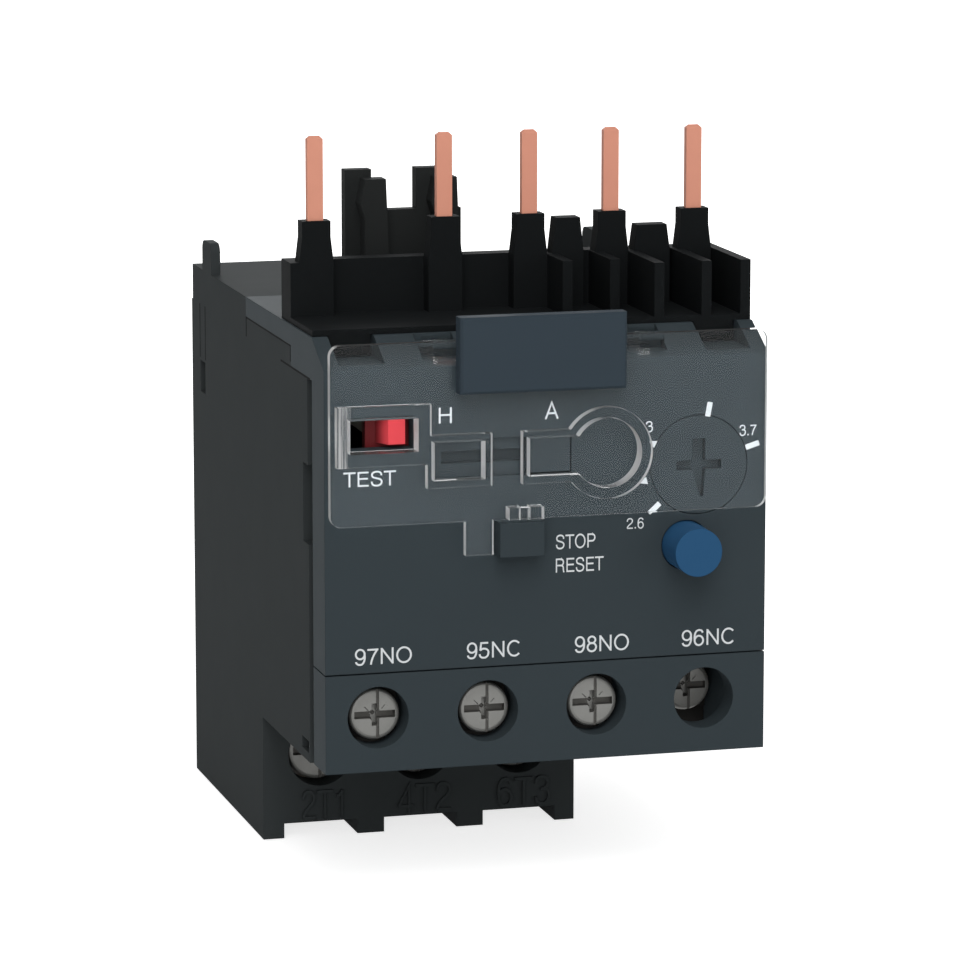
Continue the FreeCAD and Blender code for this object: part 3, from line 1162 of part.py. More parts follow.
make_rear_housing()
make_front_cover()
make_aux_strip()
make_comb()
make_hooks()
make_coil_link()
for pole in range(3):
    make_power_pin(pole)
make_aux_link()
for pole in range(3):
    number = pole + 1
    make_bimetal(pole)
    make_heater(pole)
    make_power_terminal(pole)
    make_screw("power_screw_%d" % number, "power_thread", "power_head", "power_head_height",
               "power_head_front", "power_length", (pole_x(pole), "0", "power_height"))
    make_clamp("power_clamp_%d" % number, "power_clamp_half", "power_clamp_thick",
               "power_thread", pole_x(pole), "power_height",
               "front + power_head_front + power_head_height + screw_gap",
               "power_height - power_clamp_half", "power_height + power_clamp_half")
for index in range(4):
    number = index + 1
    depth = "aux_travel" if number == 4 else "0"
    make_aux_terminal(index)
    make_screw("aux_screw_%d" % number, "aux_thread", "aux_head", "aux_head_height",
               "aux_head_front", "aux_length", (aux_x(index), depth, "aux_height"))
    make_clamp("aux_clamp_%d" % number, "aux_clamp_half", "aux_clamp_thick",
               "aux_thread", aux_x(index), "aux_height",
               "front + aux_head_front + aux_head_height + screw_gap + " + depth,
               "aux_height - aux_clamp_half", "aux_height + aux_clamp_half")
make_mechanism_frame()
make_test_tab()
make_trip_bar()
make_trip_lever()
make_carrier()
make_bridge("bridge_no", "no_bridge", "no_low", "no_left", "no_right", True)
make_bridge("bridge_nc", "nc_bridge", "nc_low", "nc_left", "nc_right", False)
make_dial()
make_compensation_strip()
make_reset_button()
make_reset_spring()
make_selector()
make_clear_cover()
make_marker_plate()
doc.recompute()


def check_growth(body):
    """A pad must add material to its body and a pocket must take some away."""
    volume = 0.0
    for feature in body.Group:
        if feature.TypeId not in ("PartDesign::Pad", "PartDesign::Pocket"):
            if hasattr(feature, "Shape") and feature.isDerivedFrom("PartDesign::Feature"):
                volume = feature.Shape.Volume
            continue
        change = feature.Shape.Volume - volume
        volume = feature.Shape.Volume
        if feature.TypeId == "PartDesign::Pad" and change <= 0:
            raise RuntimeError("pad adds nothing: %s in %s" % (feature.Name, body.Label))
        if feature.TypeId == "PartDesign::Pocket" and change >= 0:
            raise RuntimeError("pocket cuts nothing: %s in %s" % (feature.Name, body.Label))


for item in doc.Objects:
    if "Invalid" in item.State or "Error" in item.State:
        raise RuntimeError("failed feature: " + item.Name)
for body in bodies:
    if body.TypeId == "PartDesign::Body":
        check_growth(body)
    if body.Shape.isNull() or not body.Shape.isValid():
        raise RuntimeError("no sound solid: " + body.Label)
    if len(body.Shape.Solids) != 1:
        raise RuntimeError("not one solid: " + body.Label)
for body in bodies:
    body.Shape.exportStep("parts/" + body.Label + ".step")
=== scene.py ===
import bmesh
import bpy
import json
import math
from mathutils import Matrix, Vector


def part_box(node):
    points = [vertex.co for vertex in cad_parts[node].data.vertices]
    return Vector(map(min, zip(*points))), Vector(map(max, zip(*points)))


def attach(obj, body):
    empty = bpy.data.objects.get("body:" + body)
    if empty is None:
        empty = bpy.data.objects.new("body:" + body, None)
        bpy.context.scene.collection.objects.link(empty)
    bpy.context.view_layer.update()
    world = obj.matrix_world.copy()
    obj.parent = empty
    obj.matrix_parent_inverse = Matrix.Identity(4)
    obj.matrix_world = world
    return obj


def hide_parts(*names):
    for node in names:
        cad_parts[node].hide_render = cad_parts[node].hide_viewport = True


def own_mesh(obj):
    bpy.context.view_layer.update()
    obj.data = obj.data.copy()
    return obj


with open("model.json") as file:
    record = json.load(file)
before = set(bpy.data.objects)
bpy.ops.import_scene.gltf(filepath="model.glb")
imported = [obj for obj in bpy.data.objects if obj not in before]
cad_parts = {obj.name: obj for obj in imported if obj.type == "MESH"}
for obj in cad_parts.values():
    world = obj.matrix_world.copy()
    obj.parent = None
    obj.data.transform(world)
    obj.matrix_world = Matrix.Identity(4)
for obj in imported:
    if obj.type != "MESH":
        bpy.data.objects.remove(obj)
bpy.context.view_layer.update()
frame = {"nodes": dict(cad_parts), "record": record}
nodes = frame["nodes"]

MM = 0.001
# Where the relay's left wall and front face stand in the frame, in mm.
LEFT, FRONT = -22.5, -28.0
# The back of the clear cover's flat sheet, where its look gives way to that of the hinge arms.
SHEET_BACK_START, SHEET_BACK_END = (FRONT - 0.20) * MM, (FRONT - 0.15) * MM


def at(x, y, z):
    """A place counted in mm from the relay's front left corner at foot height."""
    return Vector(((x + LEFT) * MM, (y + FRONT) * MM, z * MM))


def linear(hexcode):
    """Linear colour of an sRGB colour written as six hex digits."""
    out = []
    for k in (0, 2, 4):
        c = int(hexcode[k:k + 2], 16) / 255
        out.append(c / 12.92 if c <= 0.04045 else ((c + 0.055) / 1.055) ** 2.4)
    return (*out, 1.0)


def new_piece(name, verts, faces, material=None):
    """A linked mesh object."""
    mesh = bpy.data.meshes.new(name)
    mesh.from_pydata(verts, [], faces)
    mesh.update()
    if material:
        mesh.materials.append(material)
    piece = bpy.data.objects.new(name, mesh)
    bpy.context.scene.collection.objects.link(piece)
    return piece


# Materials

def new_material(name):
    mat = bpy.data.materials.new(name)
    mat.use_nodes = True
    tree = mat.node_tree
    return mat, tree, tree.nodes["Principled BSDF"]


def noise(tree, scale, detail=4.0, rough=0.55, stretch=None):
    """Noise in the piece's own space, so that it moves with the piece."""
    coords = tree.nodes.new("ShaderNodeTexCoord")
    texture = tree.nodes.new("ShaderNodeTexNoise")
    texture.inputs["Scale"].default_value = scale
    texture.inputs["Detail"].default_value = detail
    texture.inputs["Roughness"].default_value = rough
    source = coords.outputs["Object"]
    if stretch:
        mapping = tree.nodes.new("ShaderNodeMapping")
        mapping.inputs["Scale"].default_value = stretch
        tree.links.new(source, mapping.inputs["Vector"])
        source = mapping.outputs["Vector"]
    tree.links.new(source, texture.inputs["Vector"])
    return texture.outputs["Fac"]


def ramp(tree, source, low, high, low_at=0.3, high_at=0.7):
    """Spread a texture's middle values between two colours."""
    node = tree.nodes.new("ShaderNodeValToRGB")
    for element, place, colour in zip(node.color_ramp.elements, (low_at, high_at), (low, high)):
        element.position = place
        element.color = colour
    tree.links.new(source, node.inputs["Fac"])
    return node.outputs["Color"]


def spread(tree, source, start, end, low=0.0, high=1.0, kind="LINEAR"):
    """Map a value from one range to another and hold it within the new one."""
    node = tree.nodes.new("ShaderNodeMapRange")
    node.interpolation_type = kind
    for label, value in (("From Min", start), ("From Max", end), ("To Min", low), ("To Max", high)):
        node.inputs[label].default_value = value
    tree.links.new(source, node.inputs["Value"])
    return node.outputs["Result"]


def maths(tree, operation, *values, clamp=False):
    """A maths node whose values are numbers or other nodes' outputs."""
    node = tree.nodes.new("ShaderNodeMath")
    node.operation = operation
    node.use_clamp = clamp
    for socket, value in zip(node.inputs, values):
        if isinstance(value, float):
            socket.default_value = value
        else:
            tree.links.new(value, socket)
    return node.outputs["Value"]


def mixed_shader(tree, share, first, second):
    node = tree.nodes.new("ShaderNodeMixShader")
    for socket, value in zip(node.inputs, (share, first, second)):
        tree.links.new(value, socket)
    return node.outputs["Shader"]


def plain_shader(tree, kind, level):
    node = tree.nodes.new(kind)
    node.inputs["Color"].default_value = grey(level)
    return node.outputs[0]


def split(tree, source):
    """The X, Y and Z parts of a vector."""
    node = tree.nodes.new("ShaderNodeSeparateXYZ")
    tree.links.new(source, node.inputs["Vector"])
    return node.outputs


def relief(tree, shader, height, strength, distance, edge=None):
    """Fine relief, over softly rounded edges where an edge radius is given."""
    bump = tree.nodes.new("ShaderNodeBump")
    bump.inputs["Strength"].default_value = strength
    bump.inputs["Distance"].default_value = distance
    tree.links.new(height, bump.inputs["Height"])
    if edge:
        soft = tree.nodes.new("ShaderNodeBevel")
        soft.samples = 6
        soft.inputs["Radius"].default_value = edge
        tree.links.new(soft.outputs["Normal"], bump.inputs["Normal"])
    tree.links.new(bump.outputs["Normal"], shader.inputs["Normal"])


def grey(value):
    return (value, value, value, 1.0)


def shade(colour, factor):
    return (*[min(1.0, c * factor) for c in colour[:3]], 1.0)


def plastic(name, hexcode, rough, texture_depth=0.25, *, vary, sheen_level, edge=0.00012):
    """Moulded plastic: eroded mould texture, faint tone changes, uneven sheen, soft edges."""
    mat, tree, shader = new_material(name)
    base = linear(hexcode)
    tone = noise(tree, 70.0, 5.0)
    sheen = noise(tree, 260.0, 6.0, 0.65)
    grain = noise(tree, 4500.0, 3.0, 0.6)
    colour = ramp(tree, tone, shade(base, 1 - vary), shade(base, 1 + vary))
    tree.links.new(colour, shader.inputs["Base Color"])
    gloss = ramp(tree, sheen, grey(rough - 0.015), grey(min(1, rough + 0.02)))
    tree.links.new(gloss, shader.inputs["Roughness"])
    relief(tree, shader, grain, texture_depth, 0.00002, edge)
    shader.inputs["Specular IOR Level"].default_value = sheen_level
    return mat


def metal(name, hexcode, rough, stretch=(1.0, 1.0, 1.0), scale=500.0, vary=0.12, scratch=0.35,
          metallic=1.0, sheen_level=0.5):
    """Bare metal with drawn or turned scratches and slightly dulled patches."""
    mat, tree, shader = new_material(name)
    base = linear(hexcode)
    tone = noise(tree, 180.0, 5.0)
    lines = noise(tree, scale, 6.0, 0.7, stretch)
    colour = ramp(tree, tone, shade(base, 1 - vary), shade(base, 1 + vary / 2))
    tree.links.new(colour, shader.inputs["Base Color"])
    shader.inputs["Metallic"].default_value = metallic
    shader.inputs["Specular IOR Level"].default_value = sheen_level
    gloss = ramp(tree, lines, grey(max(0.05, rough - 0.1)), grey(rough + 0.14))
    tree.links.new(gloss, shader.inputs["Roughness"])
    relief(tree, shader, lines, scratch, 0.000012, 0.00006)
    return mat


def clear_plastic(name):
    """Clear polycarbonate: faint haze, hairline scratches, and cut edges painted whiter as a
    painted highlight for the light they gather.
    """
    mat, tree, shader = new_material(name)
    shader.inputs["Base Color"].default_value = linear("f6f8f9")
    shader.inputs["Transmission Weight"].default_value = 1.0
    shader.inputs["IOR"].default_value = 1.49
    shader.inputs["Specular Tint"].default_value = grey(0.15)
    smear = noise(tree, 120.0, 6.0, 0.6)
    scratches = noise(tree, 900.0, 4.0, 0.6, (1.0, 1.0, 0.08))
    gloss = ramp(tree, smear, grey(0.0), grey(0.02), 0.5, 0.9)
    tree.links.new(gloss, shader.inputs["Roughness"])
    relief(tree, shader, scratches, 0.004, 0.000004)

    coords = tree.nodes.new("ShaderNodeTexCoord")
    facing = split(tree, coords.outputs["Normal"])
    place = split(tree, coords.outputs["Object"])
    ahead = spread(tree, place["Y"], SHEET_BACK_START, SHEET_BACK_END, 1.0, 0.1)
    # Painted highlight: faces turned sideways, most of all those facing along X, get white diffuse
    # mixed in for the light their cut edges gather; the small constant added after is the real
    # haze.
    edge_highlight_shares = []
    for side, most in (("X", 0.70), ("Z", 0.07)):
        level = maths(tree, "MULTIPLY", maths(tree, "ABSOLUTE", facing[side]), most)
        edge_highlight_shares.append(maths(tree, "MULTIPLY", level, ahead))
    haze_and_highlight_share = maths(tree, "ADD", maths(tree, "ADD", *edge_highlight_shares), 0.0015)

    # Painted highlight: upright white bands painted on the left rim of the box over the test
    # window, for the light it gathers.
    raised = spread(tree, place["Y"], (FRONT - 1.16) * MM, (FRONT - 1.12) * MM, 1.0, 0.0)
    rim = spread(tree, place["X"], (LEFT + 2.12) * MM, (LEFT + 2.18) * MM, 1.0, 0.0)
    band = noise(tree, 1.0, 3.0, 0.6, (2600.0, 600.0, 60.0))
    band_highlight = ramp(tree, band, grey(0.0), grey(0.55), 0.42, 0.62)
    painted_rim_bands = maths(tree, "MULTIPLY", maths(tree, "MULTIPLY", raised, rim), band_highlight)
    haze_and_highlight_share = maths(tree, "ADD", haze_and_highlight_share, painted_rim_bands, clamp=True)

    haze_with_highlight = mixed_shader(tree, haze_and_highlight_share, shader.outputs["BSDF"],
                         plain_shader(tree, "ShaderNodeBsdfDiffuse", 0.85))
    # The hinge arms behind the sheet are all but invisible.
    behind = spread(tree, place["Y"], SHEET_BACK_START, SHEET_BACK_END, 0.0, 0.94)
    thin = mixed_shader(tree, behind, haze_with_highlight, plain_shader(tree, "ShaderNodeBsdfTransparent", 0.96))
    path = tree.nodes.new("ShaderNodeLightPath")
    whole = mixed_shader(tree, path.outputs["Is Shadow Ray"], thin,
                         plain_shader(tree, "ShaderNodeBsdfTransparent", 0.93))
    tree.links.new(whole, tree.nodes["Material Output"].inputs["Surface"])
    return mat


MATERIALS = {
    "housing_black": plastic("housing_black", "3d4142", 0.6, vary=0.02, sheen_level=0.006),
    "cover_slate": plastic("cover_slate", "3a4246", 0.55, vary=0.015, sheen_level=0.02),
    "comb_black": plastic("comb_black", "1a1c1d", 0.6, 0.18, vary=0.03, sheen_level=0.01),
    "marker_slate": plastic("marker_slate", "39434b", 0.5, 0.12, vary=0.015, sheen_level=0.02),
    "button_blue": plastic("button_blue", "2b5479", 0.42, 0.18, vary=0.03, sheen_level=0.05),
    "tab_red": plastic("tab_red", "ee5058", 0.35, 0.12, vary=0.03, sheen_level=0.1),
    "inner_moulding": plastic("inner_moulding", "5e5c54", 0.5, vary=0.06, sheen_level=0.1),
    "copper": metal("copper", "e09b84", 0.45, (1.0, 1.0, 0.06), 1400.0, 0.04, metallic=0.04,
                    sheen_level=0.05),
    "bimetal_steel": metal("bimetal_steel", "8d8f90", 0.36, (1.0, 1.0, 0.05), 1200.0),
    "plated_steel": metal("plated_steel", "80807d", 0.36, scale=700.0, metallic=0.4,
                          vary=0.05, scratch=0.2, sheen_level=0.2),
    "contact_brass": metal("contact_brass", "6f6a60", 0.4, (1.0, 1.0, 0.1), 900.0),
    "clear_plastic": clear_plastic("clear_plastic"),
}
PRINT = plastic("white_print", "dfe3e5", 0.55, 0.1, vary=0.03, edge=0.00001, sheen_level=0.1)
DARK_PRINT = plastic("dark_recess", "0c0d0e", 0.6, 0.1, vary=0.03, edge=0.00001,
                     sheen_level=0.01)

slots = {row["node"]: row["material_slot"] for row in frame["record"]["subparts"]}
for name, piece in nodes.items():
    piece.data.materials.clear()
    piece.data.materials.append(MATERIALS[slots[name]])
HOOKS = plastic("hook_black", "2b2d2d", 0.6, 0.18, vary=0.03, sheen_level=0.01)
nodes["contactor_hooks"].data.materials[0] = HOOKS
DARK_STEEL = metal("dark_steel", "1f1e1d", 0.5, scale=700.0, metallic=0.3, scratch=0.2,
                   sheen_level=0.1)
# Painted shade for the screws' recesses: a darker steel than the head's face.
RECESS_SHADE_STEEL = metal("painted_recess_shade", "5a5956", 0.5, scale=700.0, metallic=0.3, scratch=0.2,
                     sheen_level=0.1)
for name in nodes:
    if name.startswith("aux_clamp") or name[:-2] == "aux_terminal_":
        nodes[name].data.materials[0] = DARK_STEEL


def paint_depth_shade(mat, y_front, y_deep, painted_shade_colour):
    """Painted shade: the colour of a part inside a window darkens towards the back of the window,
    where the window's walls shade it.
    """
    tree = mat.node_tree
    base = tree.nodes["Principled BSDF"].inputs["Base Color"]
    coords = tree.nodes.new("ShaderNodeTexCoord")
    place = split(tree, coords.outputs["Object"])
    depth = spread(tree, place["Y"], (FRONT + y_front) * MM, (FRONT + y_deep) * MM,
                   kind="SMOOTHSTEP")
    mixed = tree.nodes.new("ShaderNodeMix")
    mixed.data_type = "RGBA"
    mixed.inputs["B"].default_value = painted_shade_colour
    tree.links.new(depth, mixed.inputs["Factor"])
    tree.links.new(base.links[0].from_socket, mixed.inputs["A"])
    tree.links.new(mixed.outputs["Result"], base)


# Painted shade on the red test tab, darker the deeper it sits in its window.
paint_depth_shade(MATERIALS["tab_red"], 0.5, 2.5, (0.06, 0.008, 0.009, 1.0))


# Lettering and other thin marks

def arc(cx, cy, rx, ry, start, end, steps=14):
    """Points on an ellipse between two angles in degrees."""
    out = []
    for k in range(steps + 1):
        angle = math.radians(start + (end - start) * k / steps)
        out.append((cx + rx * math.cos(angle), cy + ry * math.sin(angle)))
    return out


def smooth(points, steps=5):
    """A rounded line through a few points."""
    out = []
    full = [points[0]] + points + [points[-1]]
    for k in range(1, len(full) - 2):
        p0, p1, p2, p3 = [Vector(q) for q in full[k - 1:k + 3]]
        for j in range(steps):
            t = j / steps
            q = 0.5 * ((2 * p1) + (p2 - p0) * t + (2 * p0 - 5 * p1 + 4 * p2 - p3) * t * t
                       + (3 * p1 - p0 - 3 * p2 + p3) * t * t * t)
            out.append((q.x, q.y))
    out.append(points[-1])
    return out


# Plain upright letters as centre lines: advance, left and right ink edges, and the strokes.
CAP_HEIGHT = 718
STROKE_WIDTH = 84
POINT_WIDTH = 104
GLYPHS = {
    "H": (722, 77, 646, [[(119, 0), (119, 718)], [(604, 0), (604, 718)], [(119, 376), (604, 376)]]),
    "T": (611, 14, 597, [[(14, 678), (597, 678)], [(305, 0), (305, 678)]]),
    "E": (667, 86, 616, [[(128, 0), (128, 718)], [(128, 678), (608, 678)],
                         [(128, 378), (580, 378)], [(128, 40), (616, 40)]]),
    "A": (667, 14, 654, [[(56, 0), (334, 702), (612, 0)], [(150, 245), (518, 245)]]),
    "N": (722, 76, 646, [[(118, 0), (118, 718)], [(118, 690), (604, 28)], [(604, 0), (604, 718)]]),
    "O": (778, 39, 739, [arc(389, 359, 308, 335, 0, 360, 30)]),
    "C": (722, 44, 681, [arc(376, 359, 290, 335, 42, 318, 24)]),
    "S": (667, 49, 620, [smooth([(568, 512), (535, 622), (445, 682), (330, 697), (205, 672),
                                 (122, 600), (112, 520), (150, 445), (240, 402), (350, 374),
                                 (470, 335), (555, 275), (575, 190), (535, 95), (445, 38),
                                 (330, 20), (200, 42), (120, 112), (92, 225)])]),
    "P": (667, 86, 622, [[(128, 0), (128, 718)],
                         [(128, 678), (410, 678)] + arc(410, 508, 170, 170, 90, -90)
                         + [(128, 338)]]),
    "R": (722, 88, 684, [[(130, 0), (130, 718)],
                         [(130, 678), (440, 678)] + arc(440, 518, 160, 160, 90, -90)
                         + [(130, 358)],
                         smooth([(430, 358), (540, 330), (588, 250), (596, 130), (630, 0)])]),
    "1": (556, 101, 359, [[(318, 0), (318, 700)],
                          smooth([(318, 690), (270, 600), (190, 560), (105, 552)])]),
    "2": (556, 26, 507, [smooth([(68, 490), (85, 592), (150, 668), (270, 692), (390, 665),
                                 (455, 590), (458, 495), (400, 395), (285, 305), (165, 210),
                                 (92, 120), (70, 38)]), [(70, 38), (507, 38)]]),
    "3": (556, 34, 522, [smooth([(75, 520), (95, 625), (165, 680), (265, 695), (372, 672),
                                 (432, 605), (438, 515), (385, 430), (290, 392), (215, 392)]),
                         smooth([(290, 392), (400, 372), (470, 300), (478, 200), (430, 85),
                                 (345, 25), (262, 12), (150, 35), (88, 110), (74, 205)])]),
    "4": (556, 25, 523, [[(360, 0), (360, 690), (48, 190)], [(25, 172), (523, 172)]]),
    "5": (556, 32, 514, [[(460, 678), (140, 678), (98, 340)],
                         smooth([(98, 340), (170, 402), (268, 422), (388, 390), (462, 310),
                                 (470, 215), (430, 95), (340, 25), (250, 14), (150, 35),
                                 (88, 100), (72, 180)])]),
    "6": (556, 38, 518, [smooth([(455, 570), (420, 650), (350, 690), (280, 697), (175, 658),
                                 (105, 550), (80, 400), (80, 280)]),
                         arc(280, 225, 197, 212, 0, 360, 26)]),
    "7": (556, 37, 523, [[(37, 665), (523, 665)],
                         smooth([(480, 665), (370, 500), (275, 310), (215, 130), (195, 0)])]),
    "8": (556, 38, 517, [arc(278, 535, 165, 152, 0, 360, 22), arc(278, 205, 198, 190, 0, 360, 24)]),
    "9": (556, 42, 514, [arc(276, 478, 195, 212, 0, 360, 26),
                         smooth([(472, 440), (474, 300), (440, 150), (370, 45), (270, 14),
                                 (170, 34), (105, 92), (88, 150)])]),
    ".": (278, 87, 191, [[(139, 0), (139, 104)]]),
}


# A stroke's outer corner stays within its half width divided by this share.
MITRE_LIMIT = 0.45


def ribbon(line, width, verts, faces, place, depth):
    """Add one stroke: a flat band along a line, with mitred corners and a small thickness."""
    closed = (Vector(line[0]) - Vector(line[-1])).length < 1.0
    points = [Vector(p) for p in (line[:-1] if closed else line)]
    count = len(points)
    rows = []
    for k, point in enumerate(points):
        before = points[k - 1] if closed or k > 0 else None
        after = points[(k + 1) % count] if closed or k < count - 1 else None
        ways = [w.normalized() for w in ((point - before) if before else None,
                                         (after - point) if after else None) if w]
        normals = [Vector((-w.y, w.x)) for w in ways]
        mean = (normals[0] + normals[-1]).normalized()
        reach = width / 2 / max(MITRE_LIMIT, mean.dot(normals[0]))
        rows.append((point + mean * reach, point - mean * reach))
    base = len(verts)
    for left_edge, right_edge in rows:
        for edge in (left_edge, right_edge):
            for t in (0.0, depth):
                verts.append(place(edge.x, edge.y, t))
    last = count if closed else count - 1
    for k in range(last):
        a, b = base + 4 * k, base + 4 * ((k + 1) % count)
        faces.append((a + 1, a + 3, b + 3, b + 1))
        faces.append((a, b, b + 2, a + 2))
        faces.append((a, a + 1, b + 1, b))
        faces.append((a + 2, b + 2, b + 3, a + 3))
    if not closed:
        a, b = base, base + 4 * (count - 1)
        faces.append((a, a + 2, a + 3, a + 1))
        faces.append((b, b + 1, b + 3, b + 2))


# How far a printed mark stands out of its face, in mm.
MARK_DEPTH = 0.02
# Crossing strokes stand out by different amounts, so that their faces don't share a plane.
LAYER_LIFT = 0.0006


def lettering(name, words, x_low, x_high, z_low, z_high, y, body="root", material=None,
              depth=MARK_DEPTH):
    """Words fitted into a rectangle on a plane that faces the front, as a thin mesh."""
    ink_low = GLYPHS[words[0]][1]
    ink_high = sum(GLYPHS[c][0] for c in words[:-1]) + GLYPHS[words[-1]][2]
    x_scale = (x_high - x_low) / (ink_high - ink_low)
    z_scale = (z_high - z_low) / CAP_HEIGHT
    verts, faces = [], []
    pen = 0
    for letter in words:
        advance, _, _, strokes = GLYPHS[letter]
        width = POINT_WIDTH if letter == "." else STROKE_WIDTH
        for layer, line in enumerate(strokes, start=1):
            def place(u, v, t, pen=pen, lift=LAYER_LIFT * layer):
                return at(x_low + (pen + u - ink_low) * x_scale, y - t - (lift if t else 0),
                          z_low + v * z_scale)
            ribbon(line, width, verts, faces, place, depth)
        pen += advance
    piece = new_piece(name, verts, faces, material or PRINT)
    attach(piece, body)


def plate(name, corners, y, depth=MARK_DEPTH, body="root"):
    """A thin flat mark on a plane facing the front, from its corners in X and Z."""
    count = len(corners)
    verts = [at(x, y, z) for x, z in corners] + [at(x, y - depth, z) for x, z in corners]
    faces = [tuple(range(count)), tuple(range(2 * count - 1, count - 1, -1))]
    for k in range(count):
        n = (k + 1) % count
        faces.append((k, k + count, n + count, n))
    piece = new_piece(name, verts, faces, PRINT)
    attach(piece, body)


lettering("print_test", "TEST", 1.83, 7.08, 41.84, 43.3, 0.0)
lettering("print_h", "H", 11.38, 12.69, 47.7, 49.25, 0.0)
lettering("print_a", "A", 22.08, 23.5, 47.65, 49.3, 0.0)
lettering("print_stop", "STOP", 23.34, 27.39, 34.6, 36.0, 0.0)
lettering("print_reset", "RESET", 23.34, 28.23, 32.25, 33.65, 0.0)
lettering("print_97no", "97NO", 2.98, 8.71, 24.1, 25.7, 0.0)
lettering("print_95nc", "95NC", 14.28, 19.79, 24.1, 25.7, 0.0)
lettering("print_98no", "98NO", 25.32, 30.89, 24.1, 25.7, 0.0)
lettering("print_96nc", "96NC", 36.37, 41.92, 24.1, 25.7, 0.0)
lettering("print_dial_3", "3", 32.42, 33.14, 45.9, 46.95, 0.0)
lettering("print_dial_37", "3.7", 42.1, 43.85, 45.1, 46.15, 0.0)
lettering("print_dial_26", "2.6", 30.6, 32.35, 36.25, 37.3, 0.0)

DIAL = Vector((37.9, 42.4))


def dial_mark(name, x, z, shape):
    """A mark that points away from the dial; its shape is given as (outward, aside) rows."""
    middle = Vector((x, z))
    away = (middle - DIAL).normalized()
    aside = Vector((-away.y, away.x))
    plate(name, [tuple(middle + away * a + aside * b) for a, b in shape], 0.0)


TICK = [(-0.72, -0.27), (0.72, -0.27), (0.72, 0.27), (-0.72, 0.27)]
ARROW = [(-0.35, -0.38), (0.55, 0.0), (-0.35, 0.38)]
for number, (x, z) in enumerate([(33.35, 38.24), (38.9, 47.89), (43.43, 44.11)], start=1):
    dial_mark("tick_%d" % number, x, z, TICK)
for number, (x, z) in enumerate([(32.23, 40.98), (33.12, 44.77)], start=1):
    dial_mark("dial_arrow_%d" % number, x, z, ARROW)

# The raised marks on the lower terminal block, set back behind the front face.
for words, x_low, x_high in (("2T1", 4.08, 8.44), ("4T2", 14.34, 20.04), ("6T3", 25.02, 30.8)):
    lettering("moulded_" + words.lower(), words, x_low, x_high, 1.85, 4.9, 27.55,
              material=MATERIALS["housing_black"], depth=0.25)


# Joint lines and the latch's guide grooves on the left side

LINE_DEPTH = 0.012


def side_line(name, y_low, y_high, z_low, z_high):
    """A thin dark line on the housing's left wall, from its box in Y and Z."""
    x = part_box("rear_housing")[0].x / MM - LEFT
    verts = [at(px, y, z) for px in (x, x - LINE_DEPTH)
             for y, z in ((y_low, z_low), (y_high, z_low), (y_high, z_high), (y_low, z_high))]
    faces = [(0, 1, 2, 3), (4, 5, 6, 7)] + [(k, (k + 1) % 4, 4 + (k + 1) % 4, 4 + k)
                                            for k in range(4)]
    piece = new_piece(name, verts, faces, DARK_PRINT)
    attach(piece, "root")


for number, box_of in enumerate([
        (13.8, 33.9, 53.6, 53.78), (33.6, 33.9, 51.7, 53.7), (13.8, 14.1, 52.1, 53.7),
        (5.6, 18.2, 51.5, 51.7), (53.5, 53.8, 46.2, 52.0), (56.1, 56.4, 46.2, 52.0)],
        start=1):
    side_line("side_line_%d" % number, *box_of)


# Thin clear floors of the cover's pockets, and the apron behind the selector's slot

def solid(name, verts, faces):
    """A closed mesh object with outward normals."""
    piece = new_piece(name, verts, faces)
    form = bmesh.new()
    form.from_mesh(piece.data)
    bmesh.ops.recalc_face_normals(form, faces=form.faces)
    form.to_mesh(piece.data)
    form.free()
    return piece


def slab(name, outline, y_low, y_high, body, slot_name):
    """A thin flat piece between two depths, from its outline in X and Z."""
    count = len(outline)
    verts = [at(x, y_low, z) for x, z in outline] + [at(x, y_high, z) for x, z in outline]
    faces = [tuple(range(count)), tuple(range(count, 2 * count))]
    for k in range(count):
        n = (k + 1) % count
        faces.append((k, n, n + count, k + count))
    piece = solid(name, verts, faces)
    piece.data.materials.append(MATERIALS[slot_name])
    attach(piece, body)


KEYHOLE_X, KEYHOLE_Z, KEYHOLE_RADIUS = 28.05, 44.3, 3.43
POCKET_LOW, POCKET_HIGH = 42.32, 46.08
FLOOR_FRONT, FLOOR_BACK = -0.95, -0.35
slab("clear_floor_h",
     [(10.52, POCKET_LOW), (15.58, POCKET_LOW), (15.58, POCKET_HIGH), (10.52, POCKET_HIGH)],
     FLOOR_FRONT, FLOOR_BACK, "cover_body", "clear_plastic")
round_part = arc(KEYHOLE_X, KEYHOLE_Z, KEYHOLE_RADIUS, KEYHOLE_RADIUS, -144.7, 148.4, 44)
slab("clear_floor_a", [(20.12, POCKET_LOW)] + round_part + [(20.12, POCKET_HIGH)],
     FLOOR_FRONT, FLOOR_BACK, "cover_body", "clear_plastic")
slab("selector_apron", [(10.9, 43.3), (20.15, 43.3), (20.15, 44.55), (10.9, 44.55)],
     1.9, 2.5, "selector_body", "cover_slate")


# Screws with a slot and a cross recess in the head and a cut thread behind it

def turned(axis_x, axis_z, profile, sides):
    """Points and faces of a turned form: profile rows are (radius, place along Y)."""
    verts, faces = [], []
    for radius, y in profile:
        for k in range(sides):
            angle = math.tau * k / sides
            verts.append(at(axis_x + radius * math.cos(angle), y,
                            axis_z + radius * math.sin(angle)))
    for row in range(len(profile) - 1):
        for k in range(sides):
            n = (k + 1) % sides
            faces.append((row * sides + k, row * sides + n,
                          (row + 1) * sides + n, (row + 1) * sides + k))
    faces.append(tuple(range(sides)))
    last = (len(profile) - 1) * sides
    faces.append(tuple(range(last, last + sides)))
    return verts, faces


